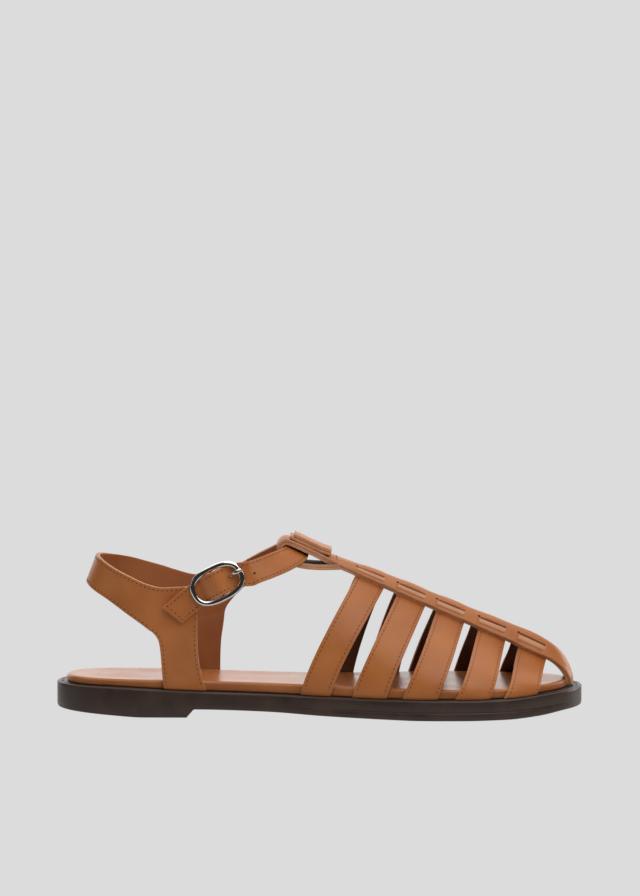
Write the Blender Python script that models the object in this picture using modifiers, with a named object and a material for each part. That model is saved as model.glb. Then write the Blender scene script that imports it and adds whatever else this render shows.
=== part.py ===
"""Flat cage sandal for the right foot, toe towards +X, standing on its sole at z = 0.

Sizes in the tables are millimetres. "Along" runs from the back of the heel to the toe,
lateral is the outer side (-Y) and medial the inner side (+Y).
"""
import math
from collections import namedtuple

import bmesh
import bpy
import numpy as np
from mathutils import Matrix, Vector

# Driving dimensions
MM = 0.001
SOLE_LENGTH = 265.0
GAP = 0.3
INSOLE_CLEARANCE = 0.7
STRAP_THICKNESS = 1.8
SPINE_THICKNESS = 2.2
LOOP_THICKNESS = 1.9
QUARTER_THICKNESS = 1.9
SOLE_STATIONS = 38
STATION_SPACING = 1.6
SHARP_ANGLE = math.radians(35)
CUT_THROUGH = 12.0

# Plan of the sole: half widths from the shoe's long axis, and the rim left outside the insole
Plan = namedtuple("Plan", "along lateral medial margin")
PLAN = (
    Plan(0, 0, 0, 6.0),
    Plan(5, 17, 17, 6.0),
    Plan(15, 25.5, 25.5, 6.0),
    Plan(30, 30.5, 30, 6.0),
    Plan(45, 32, 31, 6.0),
    Plan(70, 32.5, 30, 6.0),
    Plan(95, 33, 28, 6.0),
    Plan(120, 35, 28.5, 6.0),
    Plan(145, 39, 33, 6.0),
    Plan(170, 43.5, 40, 6.0),
    Plan(190, 46, 45, 6.0),
    Plan(205, 45.8, 46, 6.0),
    Plan(220, 42.5, 45.5, 6.2),
    Plan(235, 36, 43, 6.8),
    Plan(250, 25, 36, 8.0),
    Plan(258, 16, 28, 8.8),
    Plan(263, 5, 18.5, 8.8),
    Plan(265, -7, 7, 8.8),
)

# Side profile of the sole: underside with heel, arch and toe spring, rim, and top of the insole
Side = namedtuple("Side", "along bottom rim insole")
SIDE = (
    Side(0, 2.7, 15.3, 18.9),
    Side(12, 1.9, 15.1, 18.8),
    Side(28, 0.9, 14.9, 18.5),
    Side(44, 0, 14.2, 18.3),
    Side(66, 0, 13.2, 18.0),
    Side(70, 4.1, 13.0, 17.9),
    Side(107, 3.1, 11.8, 16.9),
    Side(134, 1.4, 10.8, 16.1),
    Side(166, 0.3, 10.1, 15.3),
    Side(180, 0, 10.0, 15.1),
    Side(225, 0, 10.0, 14.7),
    Side(243, 0.9, 11.0, 15.0),
    Side(257, 2.4, 11.8, 15.7),
    Side(265, 2.6, 12.5, 16.2),
)

# Rings of the outsole from its underside to the insole seat: inset from the outline, anchor and rise
Ring = namedtuple("Ring", "inset anchor rise")
OUTSOLE_RINGS = (
    Ring(1.0, "bottom", 0.0),
    Ring(0.0, "bottom", 0.9),
    Ring(0.0, "middle", -0.5),
    Ring(0.6, "middle", 0.0),
    Ring(0.0, "middle", 0.5),
    Ring(0.0, "rim", -1.5),
    Ring(0.5, "rim", -1.1),
    Ring(0.9, "rim", 0.0),
    Ring(2.2, "rim", 0.0),
    Ring(2.6, "rim", -0.5),
    Ring(3.0, "rim", 0.0),
)
GROOVE_FADE = (118.0, 145.0, 245.0, 259.0)
GROOVE_BELOW_MIDDLE = 1.0
INSOLE_RINGS = (
    Ring(0.3, "rim", GAP),
    Ring(0.0, "rim", 0.9),
    Ring(0.0, "insole", -1.4),
    Ring(0.5, "insole", -0.4),
    Ring(1.6, "insole", 0.0),
    Ring(11.0, "insole", -0.5),
)

# Centre strap: its outer face from the sewn end under the instep, round the fold and down to the toe
Spine = namedtuple("Spine", "along height centre half_width drop thickness")
SPINE = (
    Spine(143.5, 71.3, 0.0, 10.3, 0.0, LOOP_THICKNESS),
    Spine(131.0, 72.2, 0.0, 10.4, 0.0, LOOP_THICKNESS),
    Spine(122.0, 73.4, 0.0, 10.5, 0.0, LOOP_THICKNESS),
    Spine(115.5, 76.0, 0.0, 10.5, 0.1, LOOP_THICKNESS),
    Spine(111.8, 80.2, 0.0, 10.5, 0.2, LOOP_THICKNESS),
    Spine(110.5, 84.1, 0.0, 10.5, 0.3, 2.0),
    Spine(111.0, 86.5, 0.0, 10.5, 0.4, 2.1),
    Spine(113.4, 88.0, 0.0, 10.5, 0.5, SPINE_THICKNESS),
    Spine(118.0, 87.6, 0.0, 10.5, 0.6, SPINE_THICKNESS),
    Spine(127.0, 83.8, 0.0, 10.5, 1.0, SPINE_THICKNESS),
    Spine(138.0, 79.2, 0.0, 10.5, 1.7, SPINE_THICKNESS),
    Spine(150.0, 74.8, 0.0, 10.6, 3.1, SPINE_THICKNESS),
    Spine(164.0, 69.8, 0.2, 10.7, 4.2, SPINE_THICKNESS),
    Spine(178.0, 64.2, 0.6, 10.7, 4.9, SPINE_THICKNESS),
    Spine(191.0, 58.8, 1.2, 10.6, 5.3, SPINE_THICKNESS),
    Spine(204.0, 53.5, 2.0, 10.5, 5.7, SPINE_THICKNESS),
    Spine(216.0, 48.5, 2.8, 10.4, 6.1, SPINE_THICKNESS),
    Spine(228.0, 43.8, 3.8, 10.2, 6.7, SPINE_THICKNESS),
    Spine(238.0, 39.5, 4.6, 10.0, 7.2, SPINE_THICKNESS),
    Spine(247.0, 35.0, 5.4, 9.6, 7.0, SPINE_THICKNESS),
    Spine(253.4, 30.2, 6.0, 9.3, 5.6, SPINE_THICKNESS),
    Spine(257.9, 24.2, 6.5, 9.0, 3.8, SPINE_THICKNESS),
    Spine(260.3, 17.8, 6.8, 9.0, 1.9, SPINE_THICKNESS),
    Spine(260.9, 12.8, 7.0, 9.0, 1.3, SPINE_THICKNESS),
)
FOLD_TOP = max(range(len(SPINE)), key=lambda number: SPINE[number].height)
# Across the centre strap: its columns as shares of the half width, with the slits that strap ends fold out of
SLIT_SHARE = 0.46
SPINE_COLUMNS = (-1.0, -0.8, -0.51, -SLIT_SHARE, -0.41, -0.2, 0.0, 0.2, 0.41, SLIT_SHARE, 0.51, 0.8, 1.0)
CENTRE_RISE = 0.5
WINDOW_SHIFT = 1.8
SLIT_DEPTH = 0.9
FOLD_RISE = 1.0
SHARE_STEP = 0.01
WINDOW_ROWS = (-1.22, -1.04, -0.97, -0.4, 0.4, 0.97, 1.04, 1.22)
ROW_SPACING = (2.0, 1.0)

# Cross straps: their two edges along the shoe at the centre strap and at the sole on each side
Cross = namedtuple("Cross", "top_back top_front outer_back outer_front inner_back inner_front bow")
CROSSES = (
    Cross(150.3, 164.3, 123.7, 139.2, 134.1, 149.6, 1.2),
    Cross(171.1, 185.1, 149.3, 167.2, 156.9, 172.9, 1.1),
    Cross(190.9, 204.8, 174.9, 192.7, 177.6, 193.6, 1.0),
    Cross(212.2, 225.7, 201.5, 218.9, 200.5, 216.5, 0.95),
    Cross(232.4, 246.4, 225.7, 243.0, 223.5, 239.0, 0.9),
)
CROSS_STEPS = (0.0, 0.14, 0.28, 0.42, 0.56, 0.7, 0.82, 0.92, 1.0)
TUCK_SHARES = (0.8, 0.58)
CROSS_COLUMNS = 3
TUCK_OVERLAP = 0.35
SEWN_JOINT_AT = (139.6, 0.0, 74.6)
SEWN_JOINT = (7.5, 16.0, 2.3)
SECTION_FULLNESS = 0.5
SECTION_FLARE = 1.5
SOLVER_ROUNDS = 6

# Heel band and ankle strap: upper and lower edge, from the outer front edge round the heel
Band = namedtuple("Band", "upper lower")
BAND = (
    Band((70.8, -29.6, 63.6), (71.4, -29.7, 46.0)),
    Band((67.0, -29.6, 65.4), (66.0, -29.6, 45.7)),
    Band((60.0, -29.2, 65.2), (57.0, -29.2, 45.4)),
    Band((53.0, -28.7, 65.0), (47.5, -28.0, 44.3)),
    Band((45.5, -27.4, 66.8), (43.0, -26.8, 47.4)),
    Band((38.0, -25.2, 70.0), (36.0, -24.4, 51.9)),
    Band((29.5, -20.4, 74.0), (27.3, -20.0, 57.6)),
    Band((23.4, -12.0, 77.4), (19.0, -12.4, 62.4)),
    Band((20.9, 0.0, 79.0), (15.6, 0.0, 65.0)),
    Band((22.8, 11.6, 78.4), (18.4, 12.4, 63.6)),
    Band((28.2, 19.6, 77.0), (25.6, 19.8, 60.0)),
    Band((36.0, 24.6, 75.2), (34.8, 24.6, 54.8)),
    Band((44.0, 27.4, 72.8), (45.0, 27.4, 50.2)),
    Band((52.0, 28.8, 70.4), (55.0, 28.7, 46.0)),
    Band((60.0, 29.6, 67.8), (64.0, 29.4, 44.6)),
    Band((68.6, 30.2, 65.6), (74.0, 29.8, 44.6)),
    Band((77.5, 30.8, 66.0), (84.2, 30.4, 47.4)),
    Band((84.5, 31.2, 67.7), (87.2, 31.2, 52.2)),
    Band((91.0, 30.6, 70.7), (94.6, 31.2, 59.6)),
    Band((97.0, 26.8, 74.4), (104.6, 28.0, 65.0)),
    Band((104.6, 19.6, 78.4), (114.8, 20.4, 71.0)),
    Band((113.6, 11.8, 82.8), (123.4, 11.8, 76.2)),
    Band((114.9, 0.0, 84.2), (126.4, 0.0, 79.0)),
    Band((114.5, -10.4, 82.9), (125.6, -10.4, 76.9)),
    Band((109.0, -18.0, 81.4), (119.6, -18.4, 73.6)),
    Band((102.4, -25.4, 79.5), (111.6, -26.2, 70.6)),
    Band((96.4, -29.8, 77.9), (103.4, -30.8, 67.8)),
)
OUTER_LEG_ROWS = (0, 3)
INNER_LEG_ROWS = (13, 16)
STEPS_PER_ROW = 3
BAND_COLUMNS = 3

# Legs below the band: height, back edge, front edge and distance from the long axis
Leg = namedtuple("Leg", "height back front out")
OUTER_LEG = (
    Leg(40.0, 51.1, 71.4, 29.2),
    Leg(33.0, 53.1, 71.7, 28.6),
    Leg(26.0, 53.8, 72.5, 28.1),
    Leg(19.5, 54.3, 73.8, 27.8),
)
INNER_LEG = (
    Leg(40.0, 58.6, 83.3, 29.0),
    Leg(33.0, 60.4, 82.3, 28.0),
    Leg(26.0, 61.2, 81.9, 27.0),
    Leg(19.5, 61.7, 81.8, 26.2),
)
OUTER_LEG_BASE = (54.7, 75.8)
INNER_LEG_BASE = (62.0, 81.8)

# Buckle on the outer side: oval frame with a sunken centre bar
BUCKLE_CENTRE = (81.2, -34.6, 67.2)
BUCKLE_TILT = math.radians(27.0)
FRAME_LENGTH = 27.0
FRAME_WIDTH = 18.8
FRAME_WIRE = 1.15
FRAME_STEPS = 40
FRAME_ROUNDNESS = 0.8
BAR_RADIUS = 0.9
BAR_SINK = 1.2
CHAPE_WALL = 0.8
CHAPE_HALF_WIDTH = 4.6
# Below the bar the chape runs back to the quarter as two joined layers: place along the strap and lift
CHAPE_FOLD_ANGLES = range(-90, 91, 30)
CHAPE_TAIL = ((-5.6, -2.8), (-10.4, -6.4), (-17.0, -6.5), (-17.0, -8.0), (-11.0, -8.0), (-5.6, -5.4))
PRONG_RADIUS = 0.7
PRONG_EYE_ANGLES = (150, 185, 225, 265, 300)
PRONG_RUN = ((3.6, -2.6), (6.0, -2.2), (8.4, -0.6), (10.2, 1.2), (11.8, 2.1), (13.6, 2.0))
PRONG_NOTCH = (8.0, 2.3, 9.0)
PRONG_NOTCH_PLACE = -0.6

# Strap through the buckle, in the buckle's own axes: place, sideways shift, lift and turn of its direction
Weave = namedtuple("Weave", "place side lift turn")
STRAP_WEAVE = (
    Weave(16.6, -2.9, -3.3, -9.0),
    Weave(12.3, -0.9, -2.7, -4.0),
    Weave(8.3, -0.3, -2.5, -2.0),
    Weave(4.0, 0.0, 0.5, 0.0),
    Weave(0.0, 0.0, 2.2, 0.0),
    Weave(-4.0, 0.0, 0.5, 0.0),
    Weave(-8.3, -0.2, -2.5, 2.0),
    Weave(-12.3, -0.7, -2.7, 6.0),
    Weave(-19.5, -2.2, -2.9, 9.0),
    Weave(-27.3, -3.5, -2.7, 16.0),
)
STRAP_HALF_WIDTH = 6.1
PRONG_SLOT = (5.8, 2.6, CUT_THROUGH)
PRONG_SLOT_PLACE = (7.7, 0.0, -1.0)
PUNCHED_HOLE = (100.0, -28.5, 72.3)
PUNCH_RADIUS = 0.8
PUNCH_SIDES = 12

# Instep tab: two layers on top of the fold, each with its ends along the shoe, foot, top and half width
Layer = namedtuple("Layer", "back front foot top half_width")
TAB_LAYERS = (
    Layer(117.0, 137.0, GAP, 1.6, 9.6),
    Layer(118.5, 136.7, 1.3, 3.8, 9.3),
)
TAB_STEPS = 5
TAB_COLUMNS = (-1.0, -0.5, 0.0, 0.5, 1.0)

LEATHER = (0.40, 0.15, 0.055, 1.0)
FOOTBED = (0.42, 0.17, 0.07, 1.0)
SOLE_BROWN = (0.025, 0.016, 0.013, 1.0)
POLISHED = (0.62, 0.62, 0.60, 1.0)


def shoe(along, out, height):
    """Give the point of the model at a distance along the shoe, out from its axis and above the floor."""
    return Vector(((along - SOLE_LENGTH / 2) * MM, out * MM, height * MM))


def hermite(xs, ys, x):
    """Interpolate without overshoot through a table's points."""
    steps = np.diff(xs)
    slopes = np.diff(ys) / steps
    rates = np.zeros(len(xs))
    rates[0], rates[-1] = slopes[0], slopes[-1]
    for i in range(1, len(xs) - 1):
        if slopes[i - 1] * slopes[i] > 0:
            before = 2 * steps[i] + steps[i - 1]
            after = steps[i] + 2 * steps[i - 1]
            rates[i] = (before + after) / (before / slopes[i - 1] + after / slopes[i])
    i = int(np.clip(np.searchsorted(xs, x) - 1, 0, len(steps) - 1))
    t = (x - xs[i]) / steps[i]
    start = ys[i] * (1 + 2 * t) * (1 - t) ** 2 + rates[i] * steps[i] * t * (1 - t) ** 2
    return start + ys[i + 1] * t * t * (3 - 2 * t) + rates[i + 1] * steps[i] * t * t * (t - 1)


def sweep(along):
    """Turn a distance along the shoe into an angle, so that the outline is round at heel and toe."""
    return math.acos(1 - 2 * min(max(along / SOLE_LENGTH, 0.0), 1.0))


def plan(name, along):
    """Read a column of the sole's plan."""
    return hermite([sweep(row.along) for row in PLAN], [getattr(row, name) for row in PLAN], sweep(along))


def side(name, along):
    """Read a height of the sole's side profile."""
    inside = min(max(along, 0.0), SOLE_LENGTH)
    return hermite([row.along for row in SIDE], [getattr(row, name) for row in SIDE], inside)


def spline(points, steps):
    """Run a smooth curve through points of any size, with equal steps between each two."""
    rows = [np.array(point, float) for point in points]
    ends = [2 * rows[0] - rows[1]] + rows + [2 * rows[-1] - rows[-2]]
    curve = []
    for i in range(1, len(ends) - 2):
        a, b, c, d = ends[i - 1:i + 3]
        for k in range(steps):
            t = k / steps
            curve.append(0.5 * (2 * b + (c - a) * t + (2 * a - 5 * b + 4 * c - d) * t * t
                                + (3 * b - a - 3 * c + d) * t ** 3))
    return curve + [rows[-1]]


def material(name, colour, roughness, metallic=0.0):
    """Make a plain finish."""
    finish = bpy.data.materials.new(name)
    finish.use_nodes = True
    shader = finish.node_tree.nodes["Principled BSDF"]
    shader.inputs["Base Color"].default_value = colour
    shader.inputs["Roughness"].default_value = roughness
    shader.inputs["Metallic"].default_value = metallic
    return finish


def body(name, points, faces, finish, collection):
    """Make an object from points and faces, with its faces pointing out."""
    mesh = bpy.data.meshes.new(name)
    mesh.from_pydata([tuple(point) for point in points], [], faces)
    shape = bmesh.new()
    shape.from_mesh(mesh)
    bmesh.ops.recalc_face_normals(shape, faces=shape.faces)
    shape.to_mesh(mesh)
    shape.free()
    mesh.shade_smooth()
    mesh.set_sharp_from_angle(angle=SHARP_ANGLE)
    mesh.materials.append(finish)
    obj = bpy.data.objects.new(name, mesh)
    collection.objects.link(obj)
    return obj


def helper(obj):
    """Mark an object that only cuts or joins another."""
    obj.hide_render = True
    obj.display_type = "WIRE"
    return obj


def combine(obj, other, operation):
    """Cut another body out of an object, or join it on."""
    step = obj.modifiers.new(other.name, "BOOLEAN")
    step.operation = operation
    step.object = helper(other)


def thicken(obj, thickness):
    """Give an open surface an even wall, half on each side."""
    wall = obj.modifiers.new("wall", "SOLIDIFY")
    wall.thickness = thickness * MM
    wall.offset = 0.0
    wall.use_even_offset = True


def grid_faces(rows, columns, start=0):
    """List the faces of a grid of points kept row by row."""
    faces = []
    for i in range(rows - 1):
        for k in range(columns - 1):
            a = start + i * columns + k
            faces.append((a, a + 1, a + columns + 1, a + columns))
    return faces


def slab(name, outer, inner, finish, collection):
    """Close the space between two grids of points that have the same rows and columns."""
    rows, columns = len(outer), len(outer[0])
    size = rows * columns
    points = [point for row in outer for point in row] + [point for row in inner for point in row]
    faces = grid_faces(rows, columns)
    faces += [tuple(reversed(face)) for face in grid_faces(rows, columns, size)]
    rim = [k for k in range(columns)]
    rim += [i * columns + columns - 1 for i in range(1, rows)]
    rim += [(rows - 1) * columns + k for k in range(columns - 2, -1, -1)]
    rim += [i * columns for i in range(rows - 2, 0, -1)]
    for here, after in zip(rim, rim[1:] + rim[:1]):
        faces.append((after, here, here + size, after + size))
    return body(name, points, faces, finish, collection)


def sole_stations():
    """Choose the rungs along the sole: closer at its round ends, and one at each break of its side."""
    breaks = [row.along for row in SIDE]
    even = [SOLE_LENGTH / 2 * (1 - math.cos(math.pi * k / SOLE_STATIONS)) for k in range(SOLE_STATIONS + 1)]
    clear = [along for along in even if min(abs(along - mark) for mark in breaks) > STATION_SPACING]
    return sorted(breaks + clear)


def sole_outline():
    """Run round the sole from the heel along the outer side to the toe and back along the inner side."""
    stations = sole_stations()
    outer = [Vector((along, -plan("lateral", along))) for along in stations]
    inner = [Vector((along, plan("medial", along))) for along in stations[1:-1]]
    return outer + inner[::-1]


def inset_outline(outline, margins):
    """Move each point of an outline inwards, square to it."""
    moved = []
    for i, point in enumerate(outline):
        run = outline[(i + 1) % len(outline)] - outline[i - 1]
        inward = Vector((-run.y, run.x)).normalized()
        moved.append(point + inward * margins[i])
    return moved


def ring_inset(ring, along):
    """Give a ring's inset: the side groove runs only round the forefoot and fades out at both ends."""
    if ring.anchor != "middle":
        return ring.inset
    return ring.inset * hermite([0, *GROOVE_FADE, SOLE_LENGTH], [0, 0, 1, 1, 0, 0], along)


def ring_height(ring, along):
    """Give the height of a ring of the sole at a distance along the shoe."""
    if ring.anchor == "middle":
        return (side("bottom", along) + side("rim", along)) / 2 - GROOVE_BELOW_MIDDLE + ring.rise
    return side(ring.anchor, along) + ring.rise


def sole_layer(name, rings, outline, finish, collection):
    """Loft a layer of the sole through its rings, with rungs across the bottom and the top."""
    count = len(outline)
    last_rung = count // 2
    points, faces = [], []
    for ring in rings:
        insets = [ring_inset(ring, point.x) for point in outline]
        for along, out in inset_outline(outline, insets):
            points.append(shoe(along, out, ring_height(ring, along)))
    for level in range(len(rings) - 1):
        for i in range(count):
            a, b = level * count + i, level * count + (i + 1) % count
            faces.append((a, b, b + count, a + count))
    for start in (0, (len(rings) - 1) * count):
        for i in range(last_rung):
            rung = [i, i + 1, (count - i - 1) % count, (count - i) % count]
            faces.append(tuple(start + k for k in dict.fromkeys(rung)))
    return body(name, points, faces, finish, collection)


def window(cross):
    """Give the middle and half length of the stretch of centre strap that a cross strap covers."""
    return (cross.top_back + cross.top_front) / 2 + WINDOW_SHIFT, (cross.top_front - cross.top_back) / 2


def spine_rows():
    """List the rows of the centre strap in order: under the instep, round the fold, the slits, the toe."""
    curve = spline([tuple(row) for row in SPINE], 2)
    marks = set()
    for cross in CROSSES:
        middle, half = window(cross)
        marks.update(middle + half * share for share in WINDOW_ROWS)
    before = [row for row in curve if row[0] < min(marks) - ROW_SPACING[0]]
    after = [row for row in curve if row[0] > max(marks) + ROW_SPACING[1]]
    return before + [spine_at(along) for along in sorted(marks)] + after


def spine_at(along):
    """Read the centre strap's table at a distance along the shoe, on its upper run."""
    rows = SPINE[FOLD_TOP + 1:]
    xs = [row.along for row in rows]
    return np.array([along] + [hermite(xs, [row[k] for row in rows], along) for k in range(1, 6)])


def weave_rise(along, share):
    """Give how far the strap ends folded over the centre strap stand above its face, and slits below it."""
    for cross in CROSSES:
        middle, half = window(cross)
        away = abs(along - middle)
        if away > half:
            continue
        if abs(abs(share) - SLIT_SHARE) < SHARE_STEP:
            return -SLIT_DEPTH
        if abs(share) > SLIT_SHARE:
            return FOLD_RISE
        return CENTRE_RISE * math.cos(math.pi / 2 * away / half) ** 2
    return 0.0


def across_spine(row, ahead, share, depth):
    """Give a point of the centre strap at a share of its half width and a depth below its face."""
    along, height, centre, half_width, drop, _ = row
    run = Vector((ahead[0], ahead[1])).normalized()
    outward = Vector((-run.y, run.x))
    lean = math.atan(2 * drop * share / half_width)
    sink = drop * share * share + depth * math.cos(lean)
    out = centre + half_width * share - depth * math.sin(lean)
    return shoe(along - outward.x * sink, out, height - outward.y * sink)


def build_spine(finish, collection):
    """Make the centre strap with its fold, its loop and the folded strap ends as one wall."""
    rows = spine_rows()
    fold = max(range(len(rows)), key=lambda number: rows[number][1])
    outer, inner = [], []
    for i, row in enumerate(rows):
        ahead = rows[min(i + 1, len(rows) - 1)] - rows[max(i - 1, 0)]
        rises = [weave_rise(row[0], share) if i > fold else 0.0 for share in SPINE_COLUMNS]
        outer.append([across_spine(row, ahead, share, -rise) for share, rise in zip(SPINE_COLUMNS, rises)])
        inner.append([across_spine(row, ahead, share, row[5]) for share in SPINE_COLUMNS])
    return slab("vamp_cage", outer, inner, finish, collection)


def under_spine(along, sign, share):
    """Give the middle of a cross strap where it lies against the underside of the centre strap."""
    depth = SPINE_THICKNESS + STRAP_THICKNESS / 2 - TUCK_OVERLAP
    wanted = shoe(along, 0.0, 0.0).x
    reading = along
    for _ in range(SOLVER_ROUNDS):
        ahead = spine_at(reading + 1.0) - spine_at(reading - 1.0)
        point = across_spine(spine_at(reading), ahead, sign * share, depth)
        reading += (wanted - point.x) / MM
    return point


def foot_section(along, sign, t):
    """Give the last's side: upright at the sole, leaning in to the centre strap."""
    name = "lateral" if sign < 0 else "medial"
    out = plan(name, along) - plan("margin", along) + INSOLE_CLEARANCE + STRAP_THICKNESS / 2
    foot = shoe(along, sign * out, side("rim", along) + GAP)
    edge = under_spine(along, sign, 1.0)
    lean = math.atan(2 * spine_at(along)[4] / spine_at(along)[3])
    reach = abs(foot.y - edge.y) * SECTION_FULLNESS
    rise = (edge.z - foot.z) * SECTION_FULLNESS
    upright = foot + Vector((0.0, sign * SECTION_FLARE * MM, rise))
    shoulder = edge + Vector((0.0, sign * reach * math.cos(lean), -reach * math.sin(lean)))
    a, b, c, d = (1 - t) ** 3, 3 * t * (1 - t) ** 2, 3 * t * t * (1 - t), t ** 3
    return foot * a + upright * b + shoulder * c + edge * d


def cross_point(foot, top, bow, sign, t):
    """Give a point of a cross strap that runs straight, seen from the side, between two places."""
    low, high = foot_section(foot, sign, 0.0).z, foot_section(top, sign, 1.0).z
    along = foot + (top - foot) * t
    for _ in range(SOLVER_ROUNDS):
        climbed = (foot_section(along, sign, t).z - low) / (high - low)
        along = foot + (top - foot) * min(max(climbed, 0.0), 1.0) ** bow
    return foot_section(along, sign, t)


def build_cross(number, cross, sign, finish, collection):
    """Make one side of a cross strap, from the sole up to the slit in the centre strap."""
    base = (cross.outer_back, cross.outer_front) if sign < 0 else (cross.inner_back, cross.inner_front)
    points = []
    for t in CROSS_STEPS:
        for k in range(CROSS_COLUMNS):
            share = k / (CROSS_COLUMNS - 1)
            foot = base[0] + (base[1] - base[0]) * share
            top = cross.top_back + (cross.top_front - cross.top_back) * share
            points.append(cross_point(foot, top, cross.bow, sign, t))
    for share in TUCK_SHARES:
        for k in range(CROSS_COLUMNS):
            along = cross.top_back + (cross.top_front - cross.top_back) * k / (CROSS_COLUMNS - 1)
            points.append(under_spine(along, sign, share))
    rows = len(CROSS_STEPS) + len(TUCK_SHARES)
    word = "outer" if sign < 0 else "inner"
    strap = body(f"strap_{word}_{number}", points, grid_faces(rows, CROSS_COLUMNS), finish, collection)
    thicken(strap, STRAP_THICKNESS)
    return strap


def move_to(obj, name, collection):
    """Name an object and keep it in one collection only."""
    obj.name = name
    for owner in obj.users_collection:
        owner.objects.unlink(obj)
    collection.objects.link(obj)
    return obj


def box(name, centre, size, finish, collection):
    """Make a plain block with its sides along the axes."""
    bpy.ops.mesh.primitive_cube_add(size=1.0, location=centre)
    block = move_to(bpy.context.object, name, collection)
    block.data.transform(Matrix.Diagonal((*(Vector(size) * MM), 1.0)))
    block.data.materials.append(finish)
    return block


def build_vamp(finish, parts, cutters):
    """Make the upper over the forefoot: centre strap, loop and five cross straps in one wall."""
    cage = build_spine(finish, parts)
    for number, cross in enumerate(CROSSES, 1):
        for sign in (-1, 1):
            combine(cage, build_cross(number, cross, sign, finish, cutters), "UNION")
    sewn = box("sewn_joint", shoe(*SEWN_JOINT_AT), SEWN_JOINT, finish, cutters)
    combine(cage, sewn, "UNION")
    return cage


def buckle_point(place, across, lift):
    """Give a point in the buckle's own axes: along the strap, up across it, and away from the foot."""
    cos, sin = math.cos(BUCKLE_TILT), math.sin(BUCKLE_TILT)
    along, out, height = BUCKLE_CENTRE
    return shoe(along + place * cos - across * sin, out - lift, height + place * sin + across * cos)


def strap_rows():
    """Give the two edges of the ankle strap where it runs through the buckle and on to its tail."""
    rows = []
    for row in STRAP_WEAVE:
        turn = math.radians(row.turn)
        step = (-math.sin(turn) * STRAP_HALF_WIDTH, math.cos(turn) * STRAP_HALF_WIDTH)
        upper = buckle_point(row.place + step[0], row.side + step[1], row.lift)
        lower = buckle_point(row.place - step[0], row.side - step[1], row.lift)
        rows.append((*upper, *lower))
    return rows


def leg_points(leg, base, tops, sign):
    """List the points of a leg below the band, row by row down to the sole."""
    points = []
    shares = [k / (len(tops) - 1) for k in range(len(tops))]
    for row in leg:
        for share in shares:
            points.append(shoe(row.back + (row.front - row.back) * share, sign * row.out, row.height))
    name = "lateral" if sign < 0 else "medial"
    for share in shares:
        along = base[0] + (base[1] - base[0]) * share
        out = plan(name, along) - plan("margin", along) + INSOLE_CLEARANCE + QUARTER_THICKNESS / 2
        points.append(shoe(along, sign * out, side("rim", along) + GAP))
    return points


def build_quarter(finish, parts, cutters):
    """Make heel band, both legs and the ankle strap as one wall."""
    rows = [(*shoe(*row.upper), *shoe(*row.lower)) for row in BAND] + strap_rows()
    edges = spline(rows, STEPS_PER_ROW)
    points = []
    for edge in edges:
        upper, lower = Vector(edge[:3]), Vector(edge[3:])
        points += [upper.lerp(lower, k / BAND_COLUMNS) for k in range(BAND_COLUMNS + 1)]
    columns = BAND_COLUMNS + 1
    faces = grid_faces(len(edges), columns)
    for leg, base, span, sign in ((OUTER_LEG, OUTER_LEG_BASE, OUTER_LEG_ROWS, -1),
                                  (INNER_LEG, INNER_LEG_BASE, INNER_LEG_ROWS, 1)):
        stations = range(span[0] * STEPS_PER_ROW, span[1] * STEPS_PER_ROW + 1)
        tops = [station * columns + BAND_COLUMNS for station in stations]
        tops = tops[::-1] if sign < 0 else tops
        start = len(points)
        points += leg_points(leg, base, tops, sign)
        faces += [(tops[k], tops[k + 1], start + k + 1, start + k) for k in range(len(tops) - 1)]
        faces += grid_faces(len(leg) + 1, len(tops), start)
    quarter = body("quarter", points, faces, finish, parts)
    thicken(quarter, QUARTER_THICKNESS)
    slot = box("prong_slot", (0, 0, 0), PRONG_SLOT, finish, cutters)
    slot.matrix_world = buckle_frame_matrix(*PRONG_SLOT_PLACE)
    combine(quarter, slot, "DIFFERENCE")
    bpy.ops.mesh.primitive_cylinder_add(vertices=PUNCH_SIDES, radius=PUNCH_RADIUS * MM, depth=CUT_THROUGH * MM,
                                        location=shoe(*PUNCHED_HOLE), rotation=(math.pi / 2, 0, 0))
    punch = move_to(bpy.context.object, "punched_hole", cutters)
    punch.data.materials.append(finish)
    combine(quarter, punch, "DIFFERENCE")
    return quarter


def buckle_frame_matrix(place, across, lift):
    """Turn an object's x along the strap, y up across it and z away from the foot."""
    origin = buckle_point(place, across, lift)
    axes = [buckle_point(place + 1, across, lift) - origin, buckle_point(place, across + 1, lift) - origin,
            buckle_point(place, across, lift + 1) - origin]
    turned = Matrix([axis.normalized() for axis in axes]).transposed().to_4x4()
    return Matrix.Translation(origin) @ turned


def tube(name, path, radius, closed, finish, collection):
    """Make a round wire along a path as a mesh."""
    data = bpy.data.curves.new(name, "CURVE")
    data.dimensions = "3D"
    data.bevel_depth = radius * MM
    data.bevel_resolution = 2
    data.use_fill_caps = not closed
    line = data.splines.new("POLY")
    line.points.add(len(path) - 1)
    for point, place in zip(line.points, path):
        point.co = (*place, 1.0)
    line.use_cyclic_u = closed
    wire = bpy.data.objects.new(name + "_wire", data)
    collection.objects.link(wire)
    mesh = bpy.data.meshes.new_from_object(wire.evaluated_get(bpy.context.evaluated_depsgraph_get()))
    bpy.data.objects.remove(wire)
    shape = bmesh.new()
    shape.from_mesh(mesh)
    bmesh.ops.remove_doubles(shape, verts=shape.verts, dist=1e-6)
    bmesh.ops.recalc_face_normals(shape, faces=shape.faces)
    shape.to_mesh(mesh)
    shape.free()
    mesh.name = name
    mesh.shade_smooth()
    mesh.materials.clear()
    mesh.materials.append(finish)
    obj = bpy.data.objects.new(name, mesh)
    collection.objects.link(obj)
    return obj


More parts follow.
